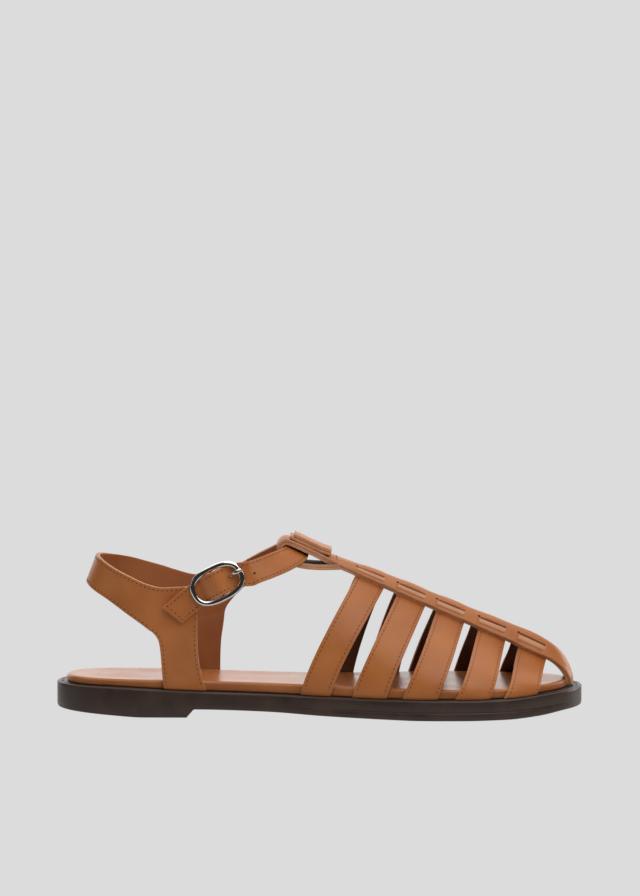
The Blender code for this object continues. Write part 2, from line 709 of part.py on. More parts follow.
def build_buckle(metal, leather, parts, cutters):
    """Make the oval frame with its centre bar, the prong, and the leather fold that holds the bar."""
    long_half = FRAME_LENGTH / 2 - FRAME_WIRE
    wide_half = FRAME_WIDTH / 2 - FRAME_WIRE
    ring = []
    for k in range(FRAME_STEPS):
        turn = 2 * math.pi * k / FRAME_STEPS
        cos, sin = math.cos(turn), math.sin(turn)
        ring.append(buckle_point(long_half * math.copysign(abs(cos) ** FRAME_ROUNDNESS, cos),
                                 wide_half * math.copysign(abs(sin) ** FRAME_ROUNDNESS, sin), 0.0))
    frame = tube("buckle_frame", ring, FRAME_WIRE, True, metal, parts)
    ends = [buckle_point(0.0, across, -BAR_SINK) for across in (-wide_half, wide_half)]
    combine(frame, tube("centre_bar", ends, BAR_RADIUS, False, metal, cutters), "UNION")

    eye = BAR_RADIUS + GAP + PRONG_RADIUS
    prong_path = [(eye * math.cos(a), -BAR_SINK + eye * math.sin(a)) for a in np.radians(PRONG_EYE_ANGLES)]
    prong_path += PRONG_RUN
    prong_curve = spline([buckle_point(place, 0.0, lift) for place, lift in prong_path], 2)
    tube("buckle_prong", prong_curve, PRONG_RADIUS, False, metal, parts)

    fold = BAR_RADIUS + GAP + CHAPE_WALL
    profile = [(fold * math.cos(a), -BAR_SINK + fold * math.sin(a)) for a in np.radians(CHAPE_FOLD_ANGLES)]
    profile += CHAPE_TAIL
    count = len(profile)
    points = [buckle_point(place, across, lift)
              for across in (-CHAPE_HALF_WIDTH, CHAPE_HALF_WIDTH) for place, lift in profile]
    faces = [tuple(range(count)), tuple(range(2 * count - 1, count - 1, -1))]
    faces += [(k, (k + 1) % count, count + (k + 1) % count, count + k) for k in range(count)]
    chape = body("buckle_chape", points, faces, leather, parts)
    reach = CHAPE_HALF_WIDTH + 1.0
    hole_ends = [buckle_point(0.0, across, -BAR_SINK) for across in (-reach, reach)]
    combine(chape, tube("bar_hole", hole_ends, BAR_RADIUS + GAP, False, leather, cutters), "DIFFERENCE")
    notch = box("prong_notch", (0, 0, 0), PRONG_NOTCH, leather, cutters)
    notch.matrix_world = buckle_frame_matrix(PRONG_NOTCH_PLACE, 0.0, -BAR_SINK)
    combine(chape, notch, "DIFFERENCE")


def build_tab(finish, parts, cutters):
    """Make the two-layer tab that lies on the instep fold."""
    layers = []
    for number, layer in enumerate(TAB_LAYERS, 1):
        outer, inner = [], []
        for k in range(TAB_STEPS + 1):
            along = layer.back + (layer.front - layer.back) * k / TAB_STEPS
            row = spine_at(along)
            ahead = spine_at(along + 1.0) - spine_at(along - 1.0)
            shares = [share * layer.half_width / row[3] for share in TAB_COLUMNS]
            outer.append([across_spine(row, ahead, share, -layer.top) for share in shares])
            inner.append([across_spine(row, ahead, share, -layer.foot) for share in shares])
        name = "instep_tab" if number == 1 else "tab_upper_layer"
        layers.append(slab(name, outer, inner, finish, parts if number == 1 else cutters))
    combine(layers[0], layers[1], "UNION")


def main():
    """Build the sandal."""
    for obj in list(bpy.data.objects):
        bpy.data.objects.remove(obj, do_unlink=True)
    parts = bpy.data.collections.new("flat_sandal")
    cutters = bpy.data.collections.new("flat_sandal_cutters")
    for collection in (parts, cutters):
        bpy.context.scene.collection.children.link(collection)
    leather = material("strap_leather", LEATHER, 0.45)
    footbed = material("footbed_leather", FOOTBED, 0.35)
    sole_brown = material("sole_brown", SOLE_BROWN, 0.5)
    polished = material("polished_metal", POLISHED, 0.12, 1.0)

    outline = sole_outline()
    sole_layer("outsole", OUTSOLE_RINGS, outline, sole_brown, parts)
    margins = [plan("margin", point.x) for point in outline]
    sole_layer("insole", INSOLE_RINGS, inset_outline(outline, margins), footbed, parts)
    build_vamp(leather, parts, cutters)
    build_quarter(leather, parts, cutters)
    build_tab(leather, parts, cutters)
    build_buckle(polished, leather, parts, cutters)


main()
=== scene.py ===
"""Looks of the flat cage sandal: leather straps, sole, buckle, stitching, studio and camera.

Sizes in the tables are millimetres: along the shoe from the back of the heel, out from its long
axis (the outer side is negative) and up from the floor.
"""
import itertools
import logging
import math
from dataclasses import dataclass
from enum import Enum
from functools import cached_property
from typing import Any, Callable, NamedTuple, Sequence

import bpy
import numpy as np
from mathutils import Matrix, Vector


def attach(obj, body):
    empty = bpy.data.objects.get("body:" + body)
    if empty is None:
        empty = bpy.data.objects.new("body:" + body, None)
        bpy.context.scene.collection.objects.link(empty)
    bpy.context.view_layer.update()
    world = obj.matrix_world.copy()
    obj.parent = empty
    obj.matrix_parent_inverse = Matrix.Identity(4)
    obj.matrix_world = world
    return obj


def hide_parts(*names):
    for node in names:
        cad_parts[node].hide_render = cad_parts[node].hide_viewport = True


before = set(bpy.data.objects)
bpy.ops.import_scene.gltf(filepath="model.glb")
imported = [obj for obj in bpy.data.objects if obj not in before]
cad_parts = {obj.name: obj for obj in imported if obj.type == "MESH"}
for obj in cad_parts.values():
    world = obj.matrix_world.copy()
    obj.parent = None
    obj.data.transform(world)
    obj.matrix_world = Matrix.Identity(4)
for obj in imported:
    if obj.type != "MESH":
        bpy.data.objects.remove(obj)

log = logging.getLogger("flat_sandal")

MM = 0.001
SOLE_LENGTH = 265.0
GAP = 0.3
INSOLE_CLEARANCE = 0.7
SMOOTH_ANGLE = math.radians(38)
MERGE_DISTANCE = 2e-6
EDGE_ANGLE = math.radians(55)
WHITE = (1.0, 1.0, 1.0, 1.0)

Colour = tuple[float, float, float, float]
Socketable = Any


class Side(Enum):
    """The two sides of the shoe, by the sign of their distance from the long axis."""

    OUTER = -1
    INNER = 1


def tint(red: int, green: int, blue: int) -> Colour:
    """Turn a display colour into the linear one that a shader takes.

    Args:
        red: Red, 0 to 255.
        green: Green, 0 to 255.
        blue: Blue, 0 to 255.

    Returns:
        The linear colour with full alpha.
    """
    channels = [value / 255 for value in (red, green, blue)]
    linear = [c / 12.92 if c <= 0.04045 else ((c + 0.055) / 1.055) ** 2.4 for c in channels]
    return (*linear, 1.0)


class Value:
    """A shader socket that takes part in Python expressions."""

    def __init__(self, graph: "Graph", socket: bpy.types.NodeSocket) -> None:
        """Wrap a socket of a graph."""
        self.graph = graph
        self.socket = socket

    def _math(self, operation: str, first: Socketable, second: Socketable) -> "Value":
        """Add a Math node for two operands."""
        return self.graph.node("ShaderNodeMath", {"operation": operation}, {0: first, 1: second})

    def __add__(self, other: Socketable) -> "Value":
        """Add a number or a socket."""
        return self._math("ADD", self, other)

    __radd__ = __add__

    def __sub__(self, other: Socketable) -> "Value":
        """Take a number or a socket away."""
        return self._math("SUBTRACT", self, other)

    def __rsub__(self, other: Socketable) -> "Value":
        """Take this socket away from a number."""
        return self._math("SUBTRACT", other, self)

    def __mul__(self, other: Socketable) -> "Value":
        """Multiply by a number or a socket."""
        return self._math("MULTIPLY", self, other)

    __rmul__ = __mul__

    def __pow__(self, other: Socketable) -> "Value":
        """Raise to a power."""
        return self._math("POWER", self, other)


class Graph:
    """The node tree of one finish."""

    def __init__(self, name: str) -> None:
        """Start a material with a Principled shader."""
        self.material = bpy.data.materials.new(name)
        self.material.use_nodes = True
        self.tree = self.material.node_tree
        self.shader = self.tree.nodes["Principled BSDF"]

    def node(self, kind: str, settings: dict[str, Any] | None = None,
             inputs: dict[Any, Socketable] | None = None, output: Any = 0) -> Value:
        """Add a node.

        Args:
            kind: The node's type.
            settings: Its properties, set first; "stops" holds a ramp's places and colours.
            inputs: Values or links of its sockets, by name or number.
            output: The socket to give back.

        Returns:
            The chosen output.
        """
        made = self.tree.nodes.new(kind)
        for key, setting in (settings or {}).items():
            if key == "stops":
                self._set_stops(made.color_ramp, setting)
            else:
                setattr(made, key, setting)
        for key, value in (inputs or {}).items():
            self.feed(made.inputs[key], value)
        return Value(self, made.outputs[output])

    def feed(self, socket: bpy.types.NodeSocket, value: Socketable) -> None:
        """Link a socket, or set its constant."""
        if isinstance(value, Value):
            self.tree.links.new(value.socket, socket)
        else:
            socket.default_value = value

    @staticmethod
    def _set_stops(ramp: bpy.types.ColorRamp, stops: Sequence[tuple[float, Colour]]) -> None:
        """Give a ramp its places and colours."""
        while len(ramp.elements) < len(stops):
            ramp.elements.new(1.0)
        for element, (place, colour) in zip(ramp.elements, stops):
            element.position, element.color = place, colour

    @cached_property
    def coords(self) -> Value:
        """Object coordinates."""
        return self.node("ShaderNodeTexCoord", output="Object")

    def noise(self, scale: float, detail: float = 2.0, stretch: Sequence[float] | None = None) -> Value:
        """Add a noise pattern on Object coordinates.

        Args:
            scale: Features per metre.
            detail: Octaves.
            stretch: Scale along each axis, where the pattern is drawn out.

        Returns:
            The pattern's value, 0 to 1.
        """
        place = self.coords
        if stretch:
            place = self.node("ShaderNodeMapping", inputs={"Vector": place, "Scale": tuple(stretch)})
        return self.node("ShaderNodeTexNoise", inputs={"Vector": place, "Scale": scale, "Detail": detail})

    def cells(self, scale: float) -> Value:
        """Add a pattern of cells, as in leather grain."""
        settings = {"feature": "F1"}
        return self.node("ShaderNodeTexVoronoi", settings, {"Vector": self.coords, "Scale": scale})

    def spread(self, value: Value, low: float, high: float, to_low: float = 0.0,
               to_high: float = 1.0) -> Value:
        """Map a range of values to another and hold it there."""
        return self.node("ShaderNodeMapRange", {"clamp": True}, {
            "Value": value, "From Min": low, "From Max": high, "To Min": to_low, "To Max": to_high})

    def blend(self, share: Socketable, first: Socketable, second: Socketable) -> Value:
        """Mix two colours by a share."""
        return self.node("ShaderNodeMix", {"data_type": "RGBA"}, {0: share, 6: first, 7: second}, 2)

    def bump(self, height: Value, strength: float, distance: float) -> None:
        """Raise the surface by a height pattern."""
        normal = self.node("ShaderNodeBump", inputs={
            "Strength": strength, "Distance": distance, "Height": height})
        self.set(Normal=normal)

    def wear(self, pattern: Value, low: float, high: float, roughness: float,
             change: tuple[float, float]) -> Value:
        """Let a pattern change the roughness.

        Args:
            pattern: The pattern.
            low: Its value where the surface is smoothest.
            high: Its value where the surface is roughest.
            roughness: The finish's own roughness.
            change: What is added at each end.

        Returns:
            The roughness.
        """
        return self.spread(pattern, low, high, roughness + change[0], roughness + change[1])

    def set(self, **inputs: Socketable) -> None:
        """Set or link the shader's sockets; a space in a name is written as an underscore."""
        for key, value in inputs.items():
            self.feed(self.shader.inputs[key.replace("_", " ")], value)


@dataclass(frozen=True)
class Leather:
    """Smooth dyed leather with fine grain, soft clouds of colour and a satin top."""

    name: str
    deep: Colour
    light: Colour
    roughness: float
    coat: float = 0.0
    shine: float = 0.45
    grain_strength: float = 0.25
    cloud_scale: float = 55.0
    grain_scale: float = 1500.0
    pore_scale: float = 4200.0
    grain_depth: float = 0.00012
    coat_roughness: float = 0.22
    mottle: tuple[float, float] = (0.32, 0.68)
    wear: tuple[float, float] = (-0.06, 0.07)

    def material(self) -> bpy.types.Material:
        """Make the material."""
        graph = Graph(self.name)
        clouds = graph.noise(self.cloud_scale, 4.0)
        grain = graph.cells(self.grain_scale)
        pores = graph.noise(self.pore_scale, 3.0)
        share = graph.spread(clouds * 0.8 + pores * 0.2, *self.mottle)
        graph.set(
            Base_Color=graph.blend(share, self.deep, self.light),
            Roughness=graph.wear(clouds + pores * 0.5, 0.5, 1.0, self.roughness, self.wear),
            Coat_Weight=self.coat, Coat_Roughness=self.coat_roughness, Specular_IOR_Level=self.shine)
        graph.bump(grain * 0.6 + pores * 0.5, self.grain_strength, self.grain_depth)
        return graph.material


@dataclass(frozen=True)
class CutEdge:
    """Pared and burnished leather edge, paler than the face, with fine fibres."""

    name: str
    deep: Colour
    light: Colour
    roughness: float = 0.5
    fibre_scale: float = 2600.0
    fibre_strength: float = 0.3
    fibre_depth: float = 0.00015
    patch_scale: float = 140.0
    mottle: tuple[float, float] = (0.35, 0.65)
    wear: tuple[float, float] = (-0.08, 0.1)

    def material(self) -> bpy.types.Material:
        """Make the material."""
        graph = Graph(self.name)
        fibres = graph.noise(self.fibre_scale, 4.0)
        patches = graph.noise(self.patch_scale)
        share = graph.spread(fibres * 0.5 + patches * 0.5, *self.mottle)
        graph.set(Base_Color=graph.blend(share, self.deep, self.light),
                  Roughness=graph.wear(patches, 0.3, 0.7, self.roughness, self.wear))
        graph.bump(fibres, self.fibre_strength, self.fibre_depth)
        return graph.material


@dataclass(frozen=True)
class SoleComposition:
    """Dark moulded sole: satin, faintly mottled, with fine drag lines along its edge."""

    name: str
    deep: Colour
    light: Colour
    roughness: float = 0.4
    shine: float = 0.4
    cloud_scale: float = 90.0
    speck_scale: float = 1800.0
    line_scale: float = 300.0
    line_stretch: tuple[float, float, float] = (0.12, 0.12, 4.0)
    relief_strength: float = 0.22
    relief_depth: float = 0.00014
    mottle: tuple[float, float] = (0.35, 0.7)
    wear: tuple[float, float] = (-0.08, 0.1)

    def material(self) -> bpy.types.Material:
        """Make the material."""
        graph = Graph(self.name)
        clouds = graph.noise(self.cloud_scale, 4.0)
        speck = graph.noise(self.speck_scale, 3.0)
        lines = graph.noise(self.line_scale, stretch=self.line_stretch)
        share = graph.spread(clouds * 0.6 + speck * 0.4, *self.mottle)
        graph.set(
            Base_Color=graph.blend(share, self.deep, self.light),
            Roughness=graph.wear(clouds + lines * 0.6, 0.5, 1.1, self.roughness, self.wear),
            Specular_IOR_Level=self.shine)
        graph.bump(speck * 0.5 + lines * 0.5, self.relief_strength, self.relief_depth)
        return graph.material


@dataclass(frozen=True)
class PolishedMetal:
    """Bright plated wire with hairline wear."""

    name: str
    colour: Colour
    roughness: float = 0.07
    hairline_scale: float = 900.0
    hairline_stretch: tuple[float, float, float] = (1.0, 1.0, 6.0)
    hairline_strength: float = 0.03
    hairline_depth: float = 0.00005
    wear: tuple[float, float] = (0.0, 0.09)

    def material(self) -> bpy.types.Material:
        """Make the material."""
        graph = Graph(self.name)
        hairlines = graph.noise(self.hairline_scale, 3.0, self.hairline_stretch)
        graph.set(Base_Color=self.colour, Metallic=1.0,
                  Roughness=graph.wear(hairlines, 0.35, 0.75, self.roughness, self.wear))
        graph.bump(hairlines, self.hairline_strength, self.hairline_depth)
        return graph.material


@dataclass(frozen=True)
class Twine:
    """Waxed sewing thread with a twisted surface."""

    name: str
    deep: Colour
    light: Colour
    roughness: float = 0.55
    twist_scale: float = 5200.0
    twist_strength: float = 0.4
    twist_depth: float = 0.0001
    mottle: tuple[float, float] = (0.35, 0.65)
    wear: tuple[float, float] = (-0.1, 0.1)

    def material(self) -> bpy.types.Material:
        """Make the material."""
        graph = Graph(self.name)
        twist = graph.noise(self.twist_scale)
        graph.set(Base_Color=graph.blend(graph.spread(twist, *self.mottle), self.deep, self.light),
                  Roughness=graph.wear(twist, 0.3, 0.7, self.roughness, self.wear))
        graph.bump(twist, self.twist_strength, self.twist_depth)
        return graph.material


class Finishes:
    """Every finish of the sandal, made once."""

    def __init__(self) -> None:
        """Make the materials."""
        self.strap = Leather("strap_leather_satin", tint(171, 97, 41), tint(188, 113, 53), 0.42).material()
        self.lining = Leather("quarter_lining", tint(148, 84, 40), tint(166, 98, 50), 0.6).material()
        # Strap ends folded out of the slits: a lighter, pinker copy of the strap leather, painted highlight
        # for the up-facing strip that catches the top light.
        self.painted_highlight_end = Leather("strap_end_painted_highlight", tint(190, 130, 92), tint(208, 152, 116), 0.5).material()
        # Lining of the cross straps and the centre strap: dark brown, well below the quarter lining, as
        # painted shade for the shade inside the cage.
        self.cage_lining_painted_shade = Leather("cage_lining_painted_shade", tint(94, 64, 46), tint(114, 80, 58), 0.75,
                                   shine=0.2).material()
        # Cut edges: paler than the face, as burnished edges are, and lightened further as painted light
        # against the shade on edges that face down.
        self.edge = CutEdge("strap_cut_edge_painted_light", tint(186, 122, 78), tint(216, 160, 122)).material()
        self.footbed = Leather("footbed_leather_gloss", tint(166, 98, 50), tint(186, 116, 66), 0.32,
                               coat=0.08, shine=0.32, grain_strength=0.12).material()
        self.sole = SoleComposition("sole_brown_satin", tint(46, 31, 24), tint(66, 46, 36)).material()
        self.metal = PolishedMetal("polished_plate", tint(226, 224, 220)).material()
        self.thread = Twine("strap_thread", tint(150, 86, 44), tint(180, 112, 66)).material()
        self.sole_thread = Twine("sole_thread", tint(40, 30, 26), tint(78, 62, 54)).material()
        # Needle holes and the holes at the slits' ends: near black, painted shade for their hollows, on flat
        # discs and on the punched walls.
        self.needle_hole_painted_shade = Leather("needle_hole_painted_shade", tint(34, 14, 5), tint(52, 24, 10), 0.8).material()


def to_metres(points: np.ndarray) -> np.ndarray:
    """Turn shoe millimetres into the frame's metres.

    Args:
        points: Any array whose last axis is along, out and height.

    Returns:
        An array of the same shape, in metres about the frame's origin.
    """
    return (np.asarray(points, float) - np.array([SOLE_LENGTH / 2, 0.0, 0.0])) * MM


def unit(vectors: np.ndarray) -> np.ndarray:
    """Scale vectors on the last axis to length one."""
    return vectors / np.maximum(np.linalg.norm(vectors, axis=-1, keepdims=True), 1e-9)


def smooth_step(value: np.ndarray, low: float, high: float) -> np.ndarray:
    """Rise smoothly from 0 at low to 1 at high."""
    share = np.clip((value - low) / (high - low), 0.0, 1.0)
    return share * share * (3 - 2 * share)


class TableCurve:
    """Curve through a table's points that never overshoots."""

    def __init__(self, xs: Sequence[float], ys: Sequence[float]) -> None:
        """Work out the slopes.

        Args:
            xs: Rising places.
            ys: Values there.
        """
        self.xs, self.ys = np.array(xs, float), np.array(ys, float)
        self.steps = np.diff(self.xs)
        slopes = np.diff(self.ys) / self.steps
        rates = np.zeros(len(self.xs))
        rates[0], rates[-1] = slopes[0], slopes[-1]
        for i in range(1, len(rates) - 1):
            if slopes[i - 1] * slopes[i] > 0:
                before = 2 * self.steps[i] + self.steps[i - 1]
                after = self.steps[i] + 2 * self.steps[i - 1]
                rates[i] = (before + after) / (before / slopes[i - 1] + after / slopes[i])
        self.rates = rates

    def __call__(self, x: np.ndarray) -> np.ndarray:
        """Read the curve.

        Args:
            x: Places.

        Returns:
            The values there.
        """
        i = np.clip(np.searchsorted(self.xs, x) - 1, 0, len(self.steps) - 1)
        t = (x - self.xs[i]) / self.steps[i]
        leave, arrive = self.rates[i] * self.steps[i], self.rates[i + 1] * self.steps[i]
        start = self.ys[i] * (1 + 2 * t) * (1 - t) ** 2 + leave * t * (1 - t) ** 2
        return start + self.ys[i + 1] * t * t * (3 - 2 * t) + arrive * t * t * (t - 1)


class RowCurve:
    """Smooth curve through rows of numbers, read by row number."""

    def __init__(self, rows: Sequence[Sequence[float]], before: Sequence[float] | None = None,
                 after: Sequence[float] | None = None) -> None:
        """Keep the rows, with one more at each end.

        Args:
            rows: The rows that the curve runs through.
            before: The row that it comes from, where it carries on another curve.
            after: The row that it goes on to.
        """
        table = np.array(rows, float)
        self.count = len(table)
        first = 2 * table[0] - table[1] if before is None else np.array(before, float)
        last = 2 * table[-1] - table[-2] if after is None else np.array(after, float)
        self.rows = np.concatenate([[first], table, [last]])

    def __call__(self, place: np.ndarray) -> np.ndarray:
        """Read the curve at row numbers.

        Args:
            place: Row numbers, whole or not.

        Returns:
            One row of numbers for each.
        """
        place = np.asarray(place, float)
        i = np.clip(np.floor(place).astype(int), 0, self.count - 2)
        t = (place - i)[..., None]
        a, b, c, d = self.rows[i], self.rows[i + 1], self.rows[i + 2], self.rows[i + 3]
        return 0.5 * (2 * b + (c - a) * t + (2 * a - 5 * b + 4 * c - d) * t * t
                      + (3 * b - a - 3 * c + d) * t ** 3)


def path_lengths(path: np.ndarray) -> np.ndarray:
    """Give the length of a path up to each of its points."""
    return np.concatenate([[0.0], np.cumsum(np.linalg.norm(np.diff(path, axis=0), axis=1))])


def sheet_normals(sheet: np.ndarray) -> np.ndarray:
    """Give a sheet's outward direction at each point."""
    return unit(np.cross(np.gradient(sheet, axis=1), np.gradient(sheet, axis=0)))


def select_only(obj: bpy.types.Object) -> None:
    """Make one object the selected and active one."""
    bpy.ops.object.select_all(action="DESELECT")
    obj.select_set(True)
    bpy.context.view_layer.objects.active = obj


def add_primitive(operator: Callable[..., Any], name: str, **settings: Any) -> bpy.types.Object:
    """Add a basic shape with nothing else selected.

    Args:
        operator: The operator that adds it.
        name: The object's name.
        **settings: The operator's settings.

    Returns:
        The new object.
    """
    bpy.ops.object.select_all(action="DESELECT")
    operator(**settings)
    piece = bpy.context.object
    piece.name = piece.data.name = name
    return piece


def place_points(piece: bpy.types.Object, points: np.ndarray) -> None:
    """Move a mesh's points to places in shoe millimetres."""
    piece.data.vertices.foreach_set("co", to_metres(points).ravel())
    piece.data.update()


def grid_piece(name: str, points: np.ndarray, dropped: np.ndarray | None = None) -> bpy.types.Object:
    """Add a grid and lay its points where a surface runs.

    Args:
        name: The object's name.
        points: Points in shoe millimetres, by row and column.
        dropped: True for each cell that is left out.

    Returns:
        The open surface.
    """
    rows, columns = points.shape[:2]
    piece = add_primitive(bpy.ops.mesh.primitive_grid_add, name, x_subdivisions=columns - 1,
                          y_subdivisions=rows - 1)
    place_points(piece, points)
    if dropped is not None:
        edit_selected(piece, dropped.ravel(), lambda: bpy.ops.mesh.delete(type="FACE"))
    return piece


def edit_selected(piece: bpy.types.Object, flags: np.ndarray, act: Callable[[], Any]) -> None:
    """Run an edit-mode operator on chosen faces.

    Args:
        piece: The mesh object.
        flags: True for each face to select.
        act: What to call in edit mode.
    """
    select_only(piece)
    bpy.ops.object.mode_set(mode="EDIT")
    bpy.ops.mesh.select_mode(type="FACE")
    bpy.ops.mesh.select_all(action="DESELECT")
    bpy.ops.object.mode_set(mode="OBJECT")
    piece.data.polygons.foreach_set("select", np.asarray(flags, bool))
    bpy.ops.object.mode_set(mode="EDIT")
    act()
    bpy.ops.object.mode_set(mode="OBJECT")


def merge_points(piece: bpy.types.Object, outward: bool = True) -> bpy.types.Object:
    """Close seams by joining points that lie together.

    Args:
        piece: The mesh object.
        outward: Whether its faces are then turned outwards, for a closed shape.

    Returns:
        The same object.
    """
    def act() -> None:
        """Merge, and turn the faces."""
        bpy.ops.mesh.remove_doubles(threshold=MERGE_DISTANCE)
        bpy.ops.mesh.select_all(action="SELECT")
        if outward:
            bpy.ops.mesh.normals_make_consistent(inside=False)

    edit_selected(piece, np.ones(len(piece.data.polygons), bool), act)
    return piece


def finish_with(piece: bpy.types.Object, kind: str, **settings: Any) -> None:
    """Add a modifier and apply it.

    Args:
        piece: The mesh object.
        kind: The modifier's type.
        **settings: Its properties.
    """
    step = piece.modifiers.new(kind.lower(), kind)
    for key, value in settings.items():
        setattr(step, key, value)
    select_only(piece)
    bpy.ops.object.modifier_apply(modifier=step.name)


def thicken(piece: bpy.types.Object, thickness: float, offset: float, edge: float, segments: int = 2,
            even: bool = True, clamped: bool = True) -> None:
    """Turn a sheet into leather with rounded cut edges.

    Args:
        piece: The open sheet, dressed for its face and its cut edge.
        thickness: The leather's thickness.
        offset: From -1 for below the sheet to 1 for above it.
        edge: Radius of the cut edges.
        segments: Steps round them.
        even: Whether the thickness is kept in bends.
        clamped: Whether the radius shrinks where faces are narrow.
    """
    finish_with(piece, "SOLIDIFY", thickness=thickness * MM, offset=offset, use_even_offset=even,
                material_offset_rim=1)
    finish_with(piece, "BEVEL", width=edge * MM, segments=segments, limit_method="ANGLE",
                angle_limit=EDGE_ANGLE, use_clamp_overlap=clamped)


def smooth(piece: bpy.types.Object) -> bpy.types.Object:
    """Shade a piece smooth up to its sharp edges."""
    select_only(piece)
    bpy.ops.object.shade_smooth_by_angle(angle=SMOOTH_ANGLE)
    return piece


def dress(piece: bpy.types.Object, *finishes: bpy.types.Material) -> bpy.types.Object:
    """Give a piece its materials in slot order."""
    piece.data.materials.clear()
    for finish in finishes:
        piece.data.materials.append(finish)
    return piece


def join(pieces: Sequence[bpy.types.Object], name: str) -> bpy.types.Object:
    """Make one object of several.

    Args:
        pieces: The objects; the first gives the rest their place.
        name: The name of the joined object.

    Returns:
        The joined object.
    """
    select_only(pieces[0])
    for piece in pieces[1:]:
        piece.select_set(True)
    if len(pieces) > 1:
        bpy.ops.object.join()
    pieces[0].name = pieces[0].data.name = name
    return pieces[0]


def mount(piece: bpy.types.Object, slot: str, *nodes: str) -> bpy.types.Object:
    """Fix a finished piece to the shoe.

    Args:
        piece: The object.
        slot: A material slot's name; not used.
        *nodes: The CAD nodes that it stands for.

    Returns:
        The same object.
    """
    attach(piece, "root")
    if nodes:
        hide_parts(*nodes)
    log.info("%s: %d faces", piece.name, len(piece.data.polygons))
    return piece


def tube_piece(name: str, path: np.ndarray, radii: Sequence[float], across: np.ndarray,
               sides: int = 16, flatten: float = 1.0) -> bpy.types.Object:
    """Lay a round bar along a path that bends in one plane, with rounded ends.

    Args:
        name: The object's name.
        path: Points in shoe millimetres.
        radii: The bar's radius at each point.
        across: Direction square to the path's plane.
        sides: Faces round the bar.
        flatten: Share of the radius kept square to the plane's direction.

    Returns:
        The closed mesh.
    """
    path, radii = np.asarray(path, float), np.asarray(radii, float)
    runs = unit(np.gradient(path, axis=0))
    caps = np.radians((0, 30, 60, 80))
    heads = [path[0] - runs[0] * radii[0] * math.cos(a) for a in caps]
    tails = [path[-1] + runs[-1] * radii[-1] * math.cos(a) for a in caps[::-1]]
    centres = np.concatenate([heads, path, tails])
    sizes = np.concatenate([np.sin(caps) * radii[0], radii, np.sin(caps[::-1]) * radii[-1]])
    frames = np.concatenate([[runs[0]] * len(caps), runs, [runs[-1]] * len(caps)])
    up = unit(np.cross(frames, across))
    turns = np.linspace(0, 2 * math.pi, sides + 1)
    ring = sizes[:, None, None] * (np.cos(turns)[None, :, None] * across * flatten
                                   + np.sin(turns)[None, :, None] * up[:, None, :])
    return smooth(merge_points(grid_piece(name, centres[:, None, :] + ring)))


@dataclass(frozen=True)
class Wall:
    """Leather wall: a face and a lining glued back to back, with rounded cut edges."""

    thickness: float
    edge: float = 0.3
    segments: int = 2
    clamped: bool = False

    def build(self, name: str, sheets: Sequence[np.ndarray], finishes: Finishes,
              dropped: np.ndarray | None = None, cutters: Sequence[bpy.types.Object] = (),
              lining: bpy.types.Material | None = None,
              face: bpy.types.Material | None = None) -> bpy.types.Object:
        """Make the wall on the surface halfway through it.

        Args:
            name: The object's name.
            sheets: Grids of points in shoe millimetres that meet along shared edges.
            finishes: The sandal's finishes.
            dropped: True for each cell of the first sheet that is left out.
            cutters: Bodies to punch out of both layers.
            lining: The inner layer's finish, if it isn't the quarter's.
            face: The outer layer's finish, if it isn't the straps'.

        Returns:
            The two-layer wall.
        """
        layers = []
        for side, leather in ((1.0, face or finishes.strap), (-1.0, lining or finishes.lining)):
            parts = [grid_piece(f"{name}_{i}", sheet, dropped if i == 0 else None)
                     for i, sheet in enumerate(sheets)]
            layer = merge_points(join(parts, name), outward=False)
            # The third slot takes the punch's dark finish, so the slit-end holes' walls show painted shade.
            dress(layer, leather, finishes.edge, finishes.needle_hole_painted_shade)
            thicken(layer, self.thickness / 2, side, self.edge, self.segments, clamped=self.clamped)
            for cutter in cutters:
                finish_with(layer, "BOOLEAN", operation="DIFFERENCE", object=cutter, solver="EXACT")
            layers.append(smooth(layer))
        return join(layers, name)


